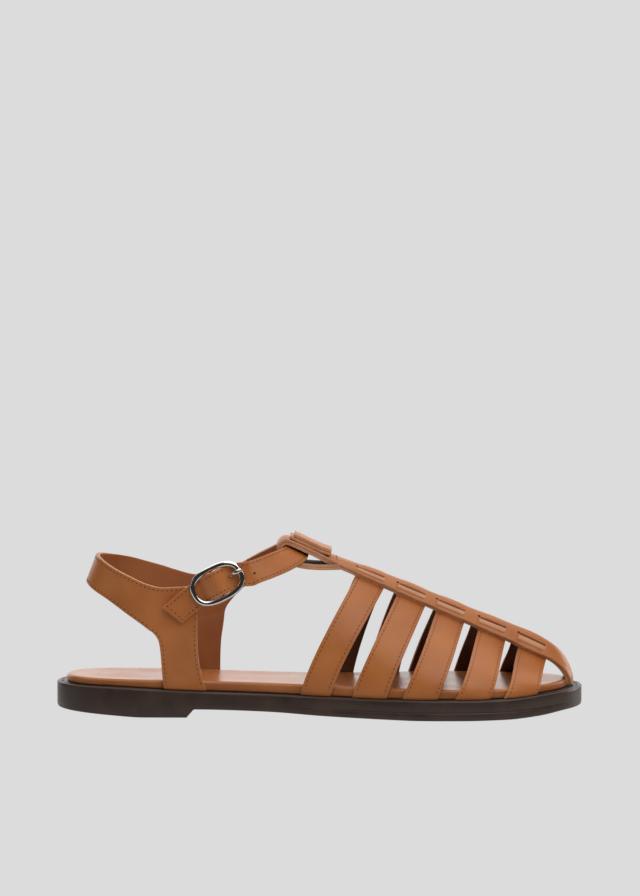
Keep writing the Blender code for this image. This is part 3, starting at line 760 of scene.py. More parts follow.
@dataclass(frozen=True)
class Stitching:
    """Row of stitches: a thread lozenge and a flat disc for the needle hole at its end, in the hole finish;
    on the straps that finish is painted shade.
    """

    pitch: float = 2.3
    length: float = 1.5
    width: float = 0.5
    height: float = 0.12
    hole: float = 0.36
    hole_lift: float = 0.03
    hole_stretch: float = 0.8
    hole_sides: int = 6
    segments: int = 6
    rings: int = 4
    look_ahead: float = 0.3

    def pattern(self) -> tuple[np.ndarray, list[tuple[int, ...]], list[int]]:
        """Model one stitch.

        Returns:
            Its points in millimetres (along, across, up), its faces and each face's material number.
        """
        ball = add_primitive(bpy.ops.mesh.primitive_uv_sphere_add, "stitch", segments=self.segments,
                             ring_count=self.rings, radius=1.0)
        points = np.array([v.co for v in ball.data.vertices])[:, [2, 0, 1]]
        points = points * np.array([self.length / 2, self.width / 2, self.height])
        faces = [tuple(face.vertices) for face in ball.data.polygons]
        numbers = [0] * len(faces)
        bpy.data.objects.remove(ball)
        turns = np.linspace(0, 2 * math.pi, self.hole_sides, endpoint=False)
        disc = np.stack([self.pitch / 2 + self.hole * self.hole_stretch * np.cos(turns),
                         self.hole * np.sin(turns), np.full(self.hole_sides, self.hole_lift)], axis=1)
        faces.append(tuple(len(points) + k for k in range(self.hole_sides)))
        return np.concatenate([points, disc]), faces, numbers + [1]

    def build(self, name: str, rows: Sequence[np.ndarray], carrier: bpy.types.Object,
              thread: bpy.types.Material, hole: bpy.types.Material) -> bpy.types.Object:
        """Sew rows of stitches on a piece.

        Args:
            name: The object's name.
            rows: Paths in shoe millimetres, close to the carrier's outer face.
            carrier: The piece that is sewn.
            thread: The thread's finish.
            hole: The needle holes' finish; the dark one is painted shade for the hole's hollow.

        Returns:
            All stitches as one mesh.
        """
        pattern, faces, numbers = self.pattern()
        points, all_faces, all_numbers = [], [], []
        for row in rows:
            for here, ahead in self.steps(row):
                _, place, normal, _ = carrier.closest_point_on_mesh(Vector(to_metres(here)))
                run = Vector(to_metres(ahead) - to_metres(here))
                run = (run - normal * run.dot(normal)).normalized()
                turned = np.array([run, normal.cross(run), normal])
                start = len(points) * len(pattern)
                points.append(np.array(place) + pattern @ turned * MM)
                all_faces += [tuple(start + k for k in face) for face in faces]
                all_numbers += numbers
        mesh = bpy.data.meshes.new(name)
        mesh.from_pydata(np.concatenate(points).tolist(), [], all_faces)
        piece = dress(bpy.data.objects.new(name, mesh), thread, hole)
        mesh.polygons.foreach_set("material_index", all_numbers)
        mesh.shade_smooth()
        bpy.context.scene.collection.objects.link(piece)
        return piece

    def steps(self, row: np.ndarray) -> list[tuple[np.ndarray, np.ndarray]]:
        """Space stitches evenly on a path.

        Args:
            row: The path's points.

        Returns:
            For each stitch its place and a point just ahead of it.
        """
        lengths = path_lengths(row)
        count = max(int(lengths[-1] // self.pitch), 1)
        places = (np.arange(count) + 0.5) * lengths[-1] / count
        behind, here, ahead = (
            np.stack([np.interp(places + shift, lengths, row[:, k]) for k in range(3)], axis=1)
            for shift in (-self.look_ahead, 0.0, self.look_ahead))
        return list(zip(here, here + ahead - behind))


class PlanRow(NamedTuple):
    """Half widths of the sole from its axis, and the rim left outside the insole."""

    along: float
    outer: float
    inner: float
    margin: float


class ProfileRow(NamedTuple):
    """Heights of the sole's underside, its rim and the top of the insole."""

    along: float
    bottom: float
    rim: float
    insole: float


class Level(Enum):
    """Heights that a ring of the sole can be measured from."""

    BOTTOM = "bottom"
    MIDDLE = "middle"
    RIM = "rim"
    INSOLE = "insole"


class Ring(NamedTuple):
    """One line round a layer of the sole: inset, level, rise above it and pull to the middle."""

    inset: float
    level: Level
    rise: float = 0.0
    pull: float = 0.0


class Last:
    """The sole's plan and side profile, which every other piece is set on."""

    PLAN = (
        PlanRow(0, 0, 0, 5.0), PlanRow(5, 17, 17, 5.2), PlanRow(15, 25.5, 25.5, 5.6),
        PlanRow(30, 30.5, 30, 6.0), PlanRow(45, 32, 31, 6.0), PlanRow(70, 32.5, 30, 6.0),
        PlanRow(95, 33, 28, 6.0), PlanRow(120, 35, 28.5, 6.0), PlanRow(145, 39, 33, 6.0),
        PlanRow(170, 43.5, 40, 6.0), PlanRow(190, 46, 45, 6.0), PlanRow(205, 45.8, 46, 6.0),
        PlanRow(220, 42.5, 45.5, 6.2), PlanRow(235, 36, 43, 6.8), PlanRow(250, 25, 36, 8.0),
        PlanRow(258, 16, 28, 7.8), PlanRow(263, 5, 18.5, 7.0), PlanRow(265, -7, 7, 6.9),
    )
    PROFILE = (
        ProfileRow(0, 2.7, 15.3, 18.9), ProfileRow(12, 1.9, 15.1, 18.8), ProfileRow(28, 0.9, 14.9, 18.5),
        ProfileRow(44, 0, 14.2, 18.3), ProfileRow(66, 0, 13.2, 18.0), ProfileRow(70, 4.1, 13.0, 17.9),
        ProfileRow(107, 3.1, 11.8, 16.9), ProfileRow(134, 1.4, 10.8, 16.1), ProfileRow(166, 0.3, 10.1, 15.3),
        ProfileRow(180, 0, 10.0, 15.1), ProfileRow(225, 0, 10.0, 14.7), ProfileRow(243, 0.9, 11.0, 15.0),
        ProfileRow(257, 2.4, 11.8, 15.7), ProfileRow(265, 2.6, 12.5, 16.2),
    )
    GROOVE_FADE = ((0, 118, 145, 245, 259, SOLE_LENGTH), (0, 0, 1, 1, 0, 0))
    GROOVE_BELOW_MIDDLE = 1.0
    STATIONS = 120
    STATION_SPACING = 0.7

    def __init__(self) -> None:
        """Prepare the curves."""
        turns = self.sweep(np.array([row.along for row in self.PLAN], float))
        alongs = [row.along for row in self.PROFILE]
        self._plan = {name: TableCurve(turns, [getattr(row, name) for row in self.PLAN])
                      for name in ("outer", "inner", "margin")}
        self._side = {level: TableCurve(alongs, [getattr(row, level.value) for row in self.PROFILE])
                      for level in (Level.BOTTOM, Level.RIM, Level.INSOLE)}
        self._fade = TableCurve(*self.GROOVE_FADE)

    @staticmethod
    def sweep(along: np.ndarray) -> np.ndarray:
        """Turn a distance along the shoe into an angle, so that heel and toe are round."""
        return np.arccos(1 - 2 * np.clip(along / SOLE_LENGTH, 0.0, 1.0))

    def half_width(self, side: Side, along: np.ndarray) -> np.ndarray:
        """Give the sole's half width on one side."""
        return self._plan[side.name.lower()](self.sweep(along))

    def margin(self, along: np.ndarray) -> np.ndarray:
        """Give the width of rim left outside the insole."""
        return self._plan["margin"](self.sweep(along))

    def height(self, level: Level, along: np.ndarray) -> np.ndarray:
        """Give a height of the side profile."""
        inside = np.clip(along, 0.0, SOLE_LENGTH)
        if level is Level.MIDDLE:
            low, high = self._side[Level.BOTTOM](inside), self._side[Level.RIM](inside)
            return (low + high) / 2 - self.GROOVE_BELOW_MIDDLE
        return self._side[level](inside)

    def wall_foot(self, side: Side, along: np.ndarray, thickness: float) -> np.ndarray:
        """Stand a leather wall on the rim, beside the insole.

        Args:
            side: The side of the shoe.
            along: Distance along the shoe.
            thickness: The wall's thickness.

        Returns:
            Points at the foot of its middle surface.
        """
        out = self.half_width(side, along) - self.margin(along) + INSOLE_CLEARANCE + thickness / 2
        return np.stack([along, side.value * out, self.height(Level.RIM, along) + GAP], axis=-1)

    def outline(self) -> np.ndarray:
        """Run round the sole: heel, outer side, toe, inner side.

        Returns:
            Points along and out, each once.
        """
        breaks = np.array([row.along for row in self.PROFILE], float)
        even = SOLE_LENGTH / 2 * (1 - np.cos(np.pi * np.arange(self.STATIONS + 1) / self.STATIONS))
        clear = [along for along in even if np.abs(breaks - along).min() > self.STATION_SPACING]
        stations = np.sort(np.concatenate([breaks, clear]))
        outer = np.stack([stations, -self.half_width(Side.OUTER, stations)], axis=1)
        inner = np.stack([stations, self.half_width(Side.INNER, stations)], axis=1)[1:-1]
        return np.concatenate([outer, inner[::-1]])

    @staticmethod
    def inset(outline: np.ndarray, margins: np.ndarray) -> np.ndarray:
        """Move an outline inwards, square to itself."""
        run = unit(np.roll(outline, -1, axis=0) - np.roll(outline, 1, axis=0))
        return outline + np.stack([-run[:, 1], run[:, 0]], axis=1) * np.reshape(margins, (-1, 1))

    def ring_path(self, ring: Ring, outline: np.ndarray) -> np.ndarray:
        """Lay one ring of a sole layer.

        Args:
            ring: The ring's sizes.
            outline: The layer's own outline.

        Returns:
            Points along, out and up, each once.
        """
        insets = np.full(len(outline), ring.inset)
        if ring.level is Level.MIDDLE:
            insets = insets * self._fade(np.clip(outline[:, 0], 0, SOLE_LENGTH))
        moved = self.inset(outline, insets)
        partner = moved[(-np.arange(len(moved))) % len(moved)]
        moved = moved + (partner - moved) * ring.pull / 2
        return np.column_stack([moved, self.height(ring.level, moved[:, 0]) + ring.rise])

    def layer(self, name: str, rings: Sequence[Ring], outline: np.ndarray) -> bpy.types.Object:
        """Loft a closed layer of the sole through its rings.

        Args:
            name: The object's name.
            rings: From the middle of the underside round to the middle of the top.
            outline: The layer's outline.

        Returns:
            The closed mesh.
        """
        paths = [self.ring_path(ring, outline) for ring in rings]
        points = np.stack([np.concatenate([path, path[:1]]) for path in paths])
        return smooth(merge_points(grid_piece(name, points)))


@dataclass
class Sole:
    """Outsole with its low heel, and the leather-wrapped footbed on it."""

    last: Last
    finishes: Finishes
    outsole_rings: tuple[Ring, ...] = (
        Ring(1.0, Level.BOTTOM, 0.0, 1.0), Ring(1.0, Level.BOTTOM, 0.0, 0.7),
        Ring(1.0, Level.BOTTOM, 0.0, 0.35), Ring(1.0, Level.BOTTOM), Ring(0.45, Level.BOTTOM, 0.15),
        Ring(0.12, Level.BOTTOM, 0.5), Ring(0.0, Level.BOTTOM, 0.95), Ring(0.0, Level.MIDDLE, -0.6),
        Ring(0.06, Level.MIDDLE, -0.42), Ring(0.3, Level.MIDDLE, -0.2), Ring(0.4, Level.MIDDLE),
        Ring(0.3, Level.MIDDLE, 0.2), Ring(0.06, Level.MIDDLE, 0.42), Ring(0.0, Level.MIDDLE, 0.6),
        Ring(0.0, Level.RIM, -1.0), Ring(0.06, Level.RIM, -0.62), Ring(0.22, Level.RIM, -0.3),
        Ring(0.48, Level.RIM, -0.1), Ring(0.85, Level.RIM), Ring(2.1, Level.RIM),
        Ring(2.3, Level.RIM, -0.35), Ring(2.6, Level.RIM, -0.5), Ring(2.9, Level.RIM, -0.35),
        Ring(3.1, Level.RIM), Ring(4.5, Level.RIM), Ring(4.5, Level.RIM, 0.0, 0.5),
        Ring(4.5, Level.RIM, 0.0, 1.0),
    )
    insole_rings: tuple[Ring, ...] = (
        Ring(0.3, Level.RIM, GAP, 1.0), Ring(0.3, Level.RIM, GAP, 0.5), Ring(0.3, Level.RIM, GAP),
        Ring(0.05, Level.RIM, 0.55), Ring(0.0, Level.RIM, 0.95), Ring(0.0, Level.INSOLE, -1.5),
        Ring(0.06, Level.INSOLE, -1.05), Ring(0.22, Level.INSOLE, -0.7), Ring(0.5, Level.INSOLE, -0.4),
        Ring(0.95, Level.INSOLE, -0.15), Ring(1.6, Level.INSOLE), Ring(3.5, Level.INSOLE, -0.06),
        Ring(7.0, Level.INSOLE, -0.25), Ring(11.0, Level.INSOLE, -0.48),
        Ring(11.0, Level.INSOLE, -0.5, 0.33), Ring(11.0, Level.INSOLE, -0.5, 0.67),
        Ring(11.0, Level.INSOLE, -0.5, 1.0),
    )
    stitch_ring: Ring = Ring(2.6, Level.RIM, -0.4)
    rim_stitches: Stitching = Stitching(pitch=3.0, length=2.4, width=0.6, height=0.28, hole=0.3)

    def build(self) -> None:
        """Make and dress both layers and the sewn channel of the rim."""
        outline = self.last.outline()
        outsole = dress(self.last.layer("sole_unit", self.outsole_rings, outline), self.finishes.sole)
        mount(outsole, "sole_brown", "outsole")
        wrapped = self.last.inset(outline, self.last.margin(outline[:, 0]))
        footbed = dress(self.last.layer("footbed", self.insole_rings, wrapped), self.finishes.footbed)
        mount(footbed, "footbed_leather", "insole")
        channel = self.last.ring_path(self.stitch_ring, outline)
        channel = np.concatenate([channel, channel[:1]])
        seam = self.rim_stitches.build("rim_seam", [channel], outsole, self.finishes.sole_thread,
                                       self.finishes.sole)
        mount(seam, "sole_brown")


class SpineRow(NamedTuple):
    """The centre strap's outer face: place, height, middle, half width and droop of its edges."""

    along: float
    height: float
    centre: float
    half_width: float
    drop: float


class CrossRow(NamedTuple):
    """A pair of cross straps: edges at the centre strap and at the sole, bow, and the inner one's lag."""

    top_back: float
    top_front: float
    outer_back: float
    outer_front: float
    inner_back: float
    inner_front: float
    bow: float
    lag: float


class CentreLine:
    """The centre strap's path: sewn end under the instep, round the fold, down to the toe."""

    ROWS = (
        SpineRow(142.8, 71.9, 0.0, 10.3, 0.0), SpineRow(131.0, 71.8, 0.0, 10.4, 0.0),
        SpineRow(122.0, 72.9, 0.0, 10.5, 0.0), SpineRow(115.5, 75.4, 0.0, 10.5, 0.1),
        SpineRow(111.8, 79.8, 0.0, 10.5, 0.3), SpineRow(110.6, 83.4, 0.0, 10.5, 0.5),
        SpineRow(111.6, 86.2, 0.0, 10.5, 0.8), SpineRow(114.3, 88.2, 0.0, 10.5, 1.1),
        SpineRow(118.2, 87.6, 0.0, 10.5, 0.8), SpineRow(127.0, 83.5, 0.0, 10.5, 0.5),
        SpineRow(133.5, 80.6, 0.0, 10.5, 0.8), SpineRow(138.8, 78.9, 0.0, 10.5, 2.0),
        SpineRow(150.0, 74.8, 0.0, 10.6, 2.8), SpineRow(164.0, 69.8, 0.2, 10.7, 4.2),
        SpineRow(178.0, 64.2, 0.6, 10.7, 4.9), SpineRow(191.0, 58.8, 1.2, 10.6, 5.3),
        SpineRow(204.0, 53.5, 2.0, 10.5, 5.7), SpineRow(216.0, 48.5, 2.8, 10.4, 6.1),
        SpineRow(228.0, 43.8, 3.8, 10.2, 6.7), SpineRow(238.0, 39.5, 4.6, 10.0, 7.2),
        SpineRow(247.0, 35.0, 5.4, 9.6, 7.0), SpineRow(253.4, 30.2, 6.0, 9.3, 5.6),
        SpineRow(257.9, 24.2, 6.5, 9.0, 3.8), SpineRow(260.3, 17.8, 6.8, 9.0, 1.9),
        SpineRow(260.9, 12.8, 7.0, 9.0, 1.3),
    )
    UPPER_START = 8
    UPPER_LEAD = 0.6
    SAMPLES = 4000
    SEARCH_STEPS = 6
    REACH = 0.05

    def __init__(self) -> None:
        """Prepare the curve and the reading of its upper run by distance along the shoe."""
        self.curve = RowCurve(self.ROWS)
        self.end = float(len(self.ROWS) - 1)
        self._places = np.linspace(self.UPPER_START - self.UPPER_LEAD, self.end, self.SAMPLES)
        self._alongs = self.curve(self._places)[:, 0]

    def place_at(self, along: np.ndarray) -> np.ndarray:
        """Give the row number of the upper run at a distance along the shoe."""
        return np.interp(along, self._alongs, self._places)

    def point(self, place: np.ndarray, share: np.ndarray, depth: np.ndarray) -> np.ndarray:
        """Give a point of the strap.

        Args:
            place: Row number.
            share: Share of the half width, from -1 on the outer edge to 1.
            depth: Distance below the outer face.

        Returns:
            The point in shoe millimetres.
        """
        place, share, depth = np.broadcast_arrays(place, share, depth)
        along, height, centre, half_width, drop = np.moveaxis(self.curve(place), -1, 0)
        behind, ahead = (self.curve(np.clip(place + step, 0, self.end)) for step in (-self.REACH, self.REACH))
        run = unit((ahead - behind)[..., :2])
        lean = np.arctan(2 * drop * share / half_width)
        sink = drop * share * share + depth * np.cos(lean)
        out = centre + half_width * share - depth * np.sin(lean)
        return np.stack([along + run[..., 1] * sink, out, height - run[..., 0] * sink], axis=-1)

    def edge_lean(self, along: np.ndarray) -> np.ndarray:
        """Give the angle at which the strap's edges lean, by distance along the shoe."""
        _, _, _, half_width, drop = np.moveaxis(self.curve(self.place_at(along)), -1, 0)
        return np.arctan(2 * drop / half_width)

    def point_at(self, along: np.ndarray, share: np.ndarray, depth: np.ndarray) -> np.ndarray:
        """Give the point of the upper run that lies at a distance along the shoe.

        Args:
            along: Where the point itself is to lie.
            share: Share of the half width.
            depth: Distance below the outer face.

        Returns:
            The point in shoe millimetres.
        """
        reading = np.array(np.broadcast_arrays(along, share, depth)[0], float)
        for _ in range(self.SEARCH_STEPS):
            found = self.point(self.place_at(reading), share, depth)
            reading = reading + along - found[..., 0]
        return found


@dataclass
class Cage:
    """Upper over the forefoot: the centre strap and five pairs of cross straps hung in its slits."""

    last: Last
    finishes: Finishes
    line: CentreLine
    crosses: tuple[CrossRow, ...] = (
        CrossRow(150.3, 164.3, 123.0, 138.0, 133.3, 148.8, 1.28, -0.4),
        CrossRow(171.1, 185.1, 148.6, 165.8, 156.1, 172.1, 1.2, 0.9),
        CrossRow(190.9, 204.8, 173.4, 190.9, 176.4, 192.4, 1.0, 0.8),
        CrossRow(212.2, 225.7, 199.6, 216.8, 199.6, 215.6, 0.86, 3.2),
        CrossRow(232.4, 246.4, 224.2, 240.4, 223.0, 238.5, 0.82, 3.0),
    )
    spine_wall: Wall = Wall(2.9, edge=0.4, segments=3, clamped=True)
    strap_wall: Wall = Wall(1.8)
    end_wall: Wall = Wall(0.9, edge=0.22)
    window_shift: float = 1.8
    slit: tuple[float, float] = (0.52, 0.6)
    slit_slack: float = 0.2
    slit_margin: float = 0.01
    lip_rise: float = 0.32
    lip_run: tuple[float, float] = (0.3, 1.15)
    rim_sink: float = 0.35
    rim_run: float = 0.5
    hole_radius: float = 0.65
    hole_behind: float = 0.6
    hole_reach: tuple[float, float] = (-3.0, 5.0)
    hole_sides: int = 16
    spine_step: float = 0.9
    spine_columns: tuple[int, int, int] = (7, 3, 9)
    strap_columns: int = 14
    side_steps: int = 40
    bow_steps: int = 8
    tuck_steps: int = 12
    end_steps: int = 25
    tuck_depth: float = 4.0
    tuck_share: float = 0.56
    end_path: tuple[tuple[float, float], ...] = (
        (0.57, -1.7), (0.59, -1.0), (0.62, -0.55), (0.67, -0.03), (0.72, 0.27), (0.765, 0.35), (0.81, 0.23),
        (0.845, -0.1))
    seam_inset: float = 1.7
    seam: Stitching = Stitching()
    loop_seam_along: float = 141.2
    loop_seam_reach: float = 0.86
    loop_seam_lift: float = 0.5
    loop_seam_points: int = 20
    section_fullness: float = 0.5
    section_flare: float = 1.5
    crown: float = 0.25

    def build(self) -> None:
        """Make and dress the centre strap, the cross straps and their stitching."""
        spine = self.centre_strap()
        mount(spine, "strap_leather", "vamp_cage")
        for (number, cross), side in itertools.product(enumerate(self.crosses, 1), Side):
            name = f"cross_strap_{number}_{side.name.lower()}"
            sheet = self.strap_sheet(cross, side)
            strap = self.strap_wall.build(name, [sheet], self.finishes, lining=self.finishes.cage_lining_painted_shade)
            end = self.end_wall.build(f"{name}_end", [self.end_sheet(cross, side)], self.finishes,
                                      face=self.finishes.painted_highlight_end)
            mount(join([strap, end], name), "strap_leather", "vamp_cage")
            self.sew(f"{name}_seams", self.seam_rows(sheet, side), strap)
        shares = np.linspace(-self.loop_seam_reach, self.loop_seam_reach, self.loop_seam_points)
        self.sew("loop_seam", [self.line.point_at(self.loop_seam_along, shares, -self.loop_seam_lift)], spine)

    def sew(self, name: str, rows: Sequence[np.ndarray], carrier: bpy.types.Object) -> None:
        """Sew rows of stitches on a strap.

        Args:
            name: The object's name.
            rows: The rows' paths.
            carrier: The strap.
        """
        seam = self.seam.build(name, rows, carrier, self.finishes.thread, self.finishes.needle_hole_painted_shade)
        mount(seam, "strap_leather")

    @staticmethod
    def top_edges(cross: CrossRow, side: Side) -> tuple[float, float]:
        """Give a cross strap's back and front edge at the centre strap."""
        lag = cross.lag if side is Side.INNER else 0.0
        return cross.top_back - lag, cross.top_front - lag

    def window(self, cross: CrossRow, side: Side) -> tuple[float, float]:
        """Give the middle and half length of the slit that a cross strap's end comes out of."""
        back, front = self.top_edges(cross, side)
        return (back + front) / 2 + self.window_shift, (front - back) / 2

    def centre_strap(self) -> bpy.types.Object:
        """Make the centre strap with its fold, loop and slits."""
        dense = np.linspace(0, self.line.end, self.line.SAMPLES)
        lengths = path_lengths(self.line.curve(dense)[:, :2])
        places = np.interp(np.arange(0, lengths[-1], self.spine_step), lengths, dense)
        low, high = self.slit
        inside, across, outside = self.spine_columns
        half = np.concatenate([np.linspace(0, low, inside)[:-1], np.linspace(low, high, across)[:-1],
                               np.linspace(high, 1, outside)])
        shares = np.concatenate([-half[:0:-1], half])
        alongs = self.line.curve(places)[:, 0]
        upper = places > self.line.UPPER_START
        depth = np.zeros((len(places), len(shares)))
        open_cells = np.zeros((len(places) - 1, len(shares) - 1), bool)
        spread = np.abs(shares)[None, :]
        middles = (shares[1:] + shares[:-1]) / 2
        for cross, side in itertools.product(self.crosses, Side):
            middle, half_length = self.window(cross, side)
            away = np.where(upper, np.abs(alongs - middle), SOLE_LENGTH)[:, None]
            full, gone = (half_length * share for share in self.lip_run)
            lip = self.lip_rise / 2 * (1 - smooth_step(away, full, gone))
            sunk = self.rim_sink * (1 - smooth_step(away, half_length - self.rim_run,
                                                    half_length + self.rim_run))
            depth -= np.where(spread < high - self.slit_margin, lip, 0.0)
            depth += np.where(shares * side.value > high - self.slit_margin, sunk, 0.0)
            crossed = (middles * side.value > low) & (middles * side.value < high)
            open_cells |= (np.maximum(away[1:], away[:-1]) < half_length + self.slit_slack) & crossed
        points = self.line.point(places[:, None], shares[None, :], depth + self.spine_wall.thickness / 2)
        punch = self.slit_punch()
        strap = self.spine_wall.build("centre_strap", [points[:, ::-1]], self.finishes, open_cells[:, ::-1],
                                      [punch], self.finishes.cage_lining_painted_shade)
        bpy.data.objects.remove(punch)
        return strap

    def slit_punch(self) -> bpy.types.Object:
        """Make the cutter for the round holes at the slits' back ends."""
        punches = []
        share = sum(self.slit) / 2
        for cross, side in itertools.product(self.crosses, Side):
            middle, half_length = self.window(cross, side)
            place = self.line.place_at(middle - half_length - self.hole_behind)
            top, foot = (Vector(to_metres(self.line.point(place, side.value * share, depth)))
                         for depth in self.hole_reach)
            punches.append(add_primitive(
                bpy.ops.mesh.primitive_cylinder_add, "slit_punch", vertices=self.hole_sides,
                radius=self.hole_radius * MM, depth=(top - foot).length, location=(top + foot) / 2,
                rotation=(top - foot).to_track_quat("Z", "Y").to_euler()))
            bpy.ops.object.transform_apply()
        # The cutter's dark finish passes to the holes' walls as painted shade.
        return dress(join(punches, "slit_punch"), self.finishes.needle_hole_painted_shade)

    def section(self, along: np.ndarray, side: Side, t: np.ndarray) -> np.ndarray:
        """Give the last's side: upright at the sole, leaning in to the centre strap.

        Args:
            along: Distance along the shoe.
            side: The side of the shoe.
            t: From 0 at the sole to 1 at the centre strap's edge.

        Returns:
            Points of the cross straps' middle surface.
        """
        sign = side.value
        foot = self.last.wall_foot(side, along, self.strap_wall.thickness)
        edge = self.line.point_at(along, sign * 1.0, self.tuck_depth)
        lean = self.line.edge_lean(along)
        reach = np.abs(foot[..., 1] - edge[..., 1]) * self.section_fullness
        rise = (edge[..., 2] - foot[..., 2]) * self.section_fullness
        none = np.zeros_like(reach)
        upright = foot + np.stack([none, none + sign * self.section_flare, rise], axis=-1)
        shoulder = edge + np.stack([none, sign * reach * np.cos(lean), -reach * np.sin(lean)], axis=-1)
        t = np.broadcast_to(t, along.shape)[..., None]
        return (foot * (1 - t) ** 3 + upright * 3 * t * (1 - t) ** 2
                + shoulder * 3 * t * t * (1 - t) + edge * t ** 3)

    def strap_side(self, cross: CrossRow, side: Side) -> np.ndarray:
        """Lay one side of a cross strap from the sole up to the centre strap's edge.

        Args:
            cross: The strap's sizes.
            side: The side of the shoe.

        Returns:
            Points by step up the strap and by column from back to front.
        """
        back, front = ((cross.outer_back, cross.outer_front) if side is Side.OUTER
                       else (cross.inner_back, cross.inner_front))
        share = np.linspace(0, 1, self.strap_columns + 1)[None, :]
        t = np.linspace(0, 1, self.side_steps + 1)[:, None]
        foot = back + (front - back) * share + 0 * t
        start, end = self.top_edges(cross, side)
        top = start + (end - start) * share + 0 * t
        t = t + 0 * share
        low = self.section(foot[:1], side, np.zeros_like(foot[:1]))[..., 2]
        high = self.section(top[:1], side, np.ones_like(top[:1]))[..., 2]
        along = foot + (top - foot) * t
        for _ in range(self.bow_steps):
            climbed = (self.section(along, side, t)[..., 2] - low) / (high - low)
            along = foot + (top - foot) * np.clip(climbed, 0.0, 1.0) ** cross.bow
        return self.section(along, side, t)

    def strap_sheet(self, cross: CrossRow, side: Side) -> np.ndarray:
        """Lay a cross strap from the sole up, and in under the centre strap to its slit.

        Args:
            cross: The strap's sizes.
            side: The side of the shoe.

        Returns:
            Points of its middle surface, by step and by column from back to front.
        """
        shares = np.linspace(1, self.tuck_share, self.tuck_steps)[1:, None]
        column = np.linspace(0, 1, self.strap_columns + 1)[None, :]
        start, end = self.top_edges(cross, side)
        along = start + (end - start) * column
        tuck = self.line.point_at(along, side.value * shares + 0 * column, self.tuck_depth)
        sheet = np.concatenate([self.strap_side(cross, side), tuck])[::-side.value]
        return sheet + self.crown * sheet_normals(sheet) * (1 - (2 * column - 1) ** 2)[..., None]

    def end_sheet(self, cross: CrossRow, side: Side) -> np.ndarray:
        """Lay a strap's thinned end where it comes up through its slit and is folded out over the edge.

        Args:
            cross: The strap's sizes.
            side: The side of the shoe.

        Returns:
            Points of its middle surface, by step and by column from back to front.
        """
        middle, half_length = self.window(cross, side)
        along = middle + half_length * np.linspace(-1, 1, self.strap_columns + 1)
        places = np.linspace(0, len(self.end_path) - 1, self.end_steps)
        path = RowCurve(self.end_path)(places)[::side.value]
        depth = self.end_wall.thickness / 2 - path[:, 1:]
        return self.line.point(self.line.place_at(along)[None, :], side.value * path[:, :1], depth)

    def seam_rows(self, sheet: np.ndarray, side: Side) -> list[np.ndarray]:
        """Give the paths of a cross strap's stitching, just inside both edges.

        Args:
            sheet: The strap's middle surface.
            side: The side of the shoe.

        Returns:
            One path for each edge.
        """
        faces = (sheet + sheet_normals(sheet) * self.strap_wall.thickness / 2)[::-side.value]
        widths = np.linalg.norm(faces[:, -1] - faces[:, 0], axis=1)
        rows = []
        for edge in (self.seam_inset / widths, 1 - self.seam_inset / widths):
            place = edge * self.strap_columns
            low = np.clip(place.astype(int), 0, self.strap_columns - 1)
            index = np.arange(len(faces))
            t = (place - low)[:, None]
            line = faces[index, low] * (1 - t) + faces[index, low + 1] * t
            rows.append(line[1:self.side_steps])
        return rows


class BandRow(NamedTuple):
    """The heel band's and ankle strap's upper and lower edge."""

    upper: tuple[float, float, float]
    lower: tuple[float, float, float]


class LegRow(NamedTuple):
    """A leg at a height: its back and front edge, distance from the axis and back edge's turn inwards."""

    height: float
    back: float
    front: float
    out: float
    turn: float = 0.0


class ThreadRow(NamedTuple):
    """The ankle strap in the buckle's axes: place along it, sideways shift, lift and turn."""

    place: float
    side: float
    lift: float
    turn: float


class BuckleAxes:
    """The buckle's own axes on the outer side of the ankle."""

    CENTRE = np.array([81.2, -34.6, 67.2])
    TILT = math.radians(27.0)
    ALONG = np.array([math.cos(TILT), 0.0, math.sin(TILT)])
    ACROSS = np.array([-math.sin(TILT), 0.0, math.cos(TILT)])
    OUTWARD = np.array([0.0, -1.0, 0.0])

    @classmethod
    def point(cls, place: Any, across: Any, lift: Any) -> np.ndarray:
        """Give points along the strap, up across it and away from the foot."""
        place, across, lift = (np.asarray(value, float)[..., None] for value in (place, across, lift))
        return cls.CENTRE + place * cls.ALONG + across * cls.ACROSS + lift * cls.OUTWARD


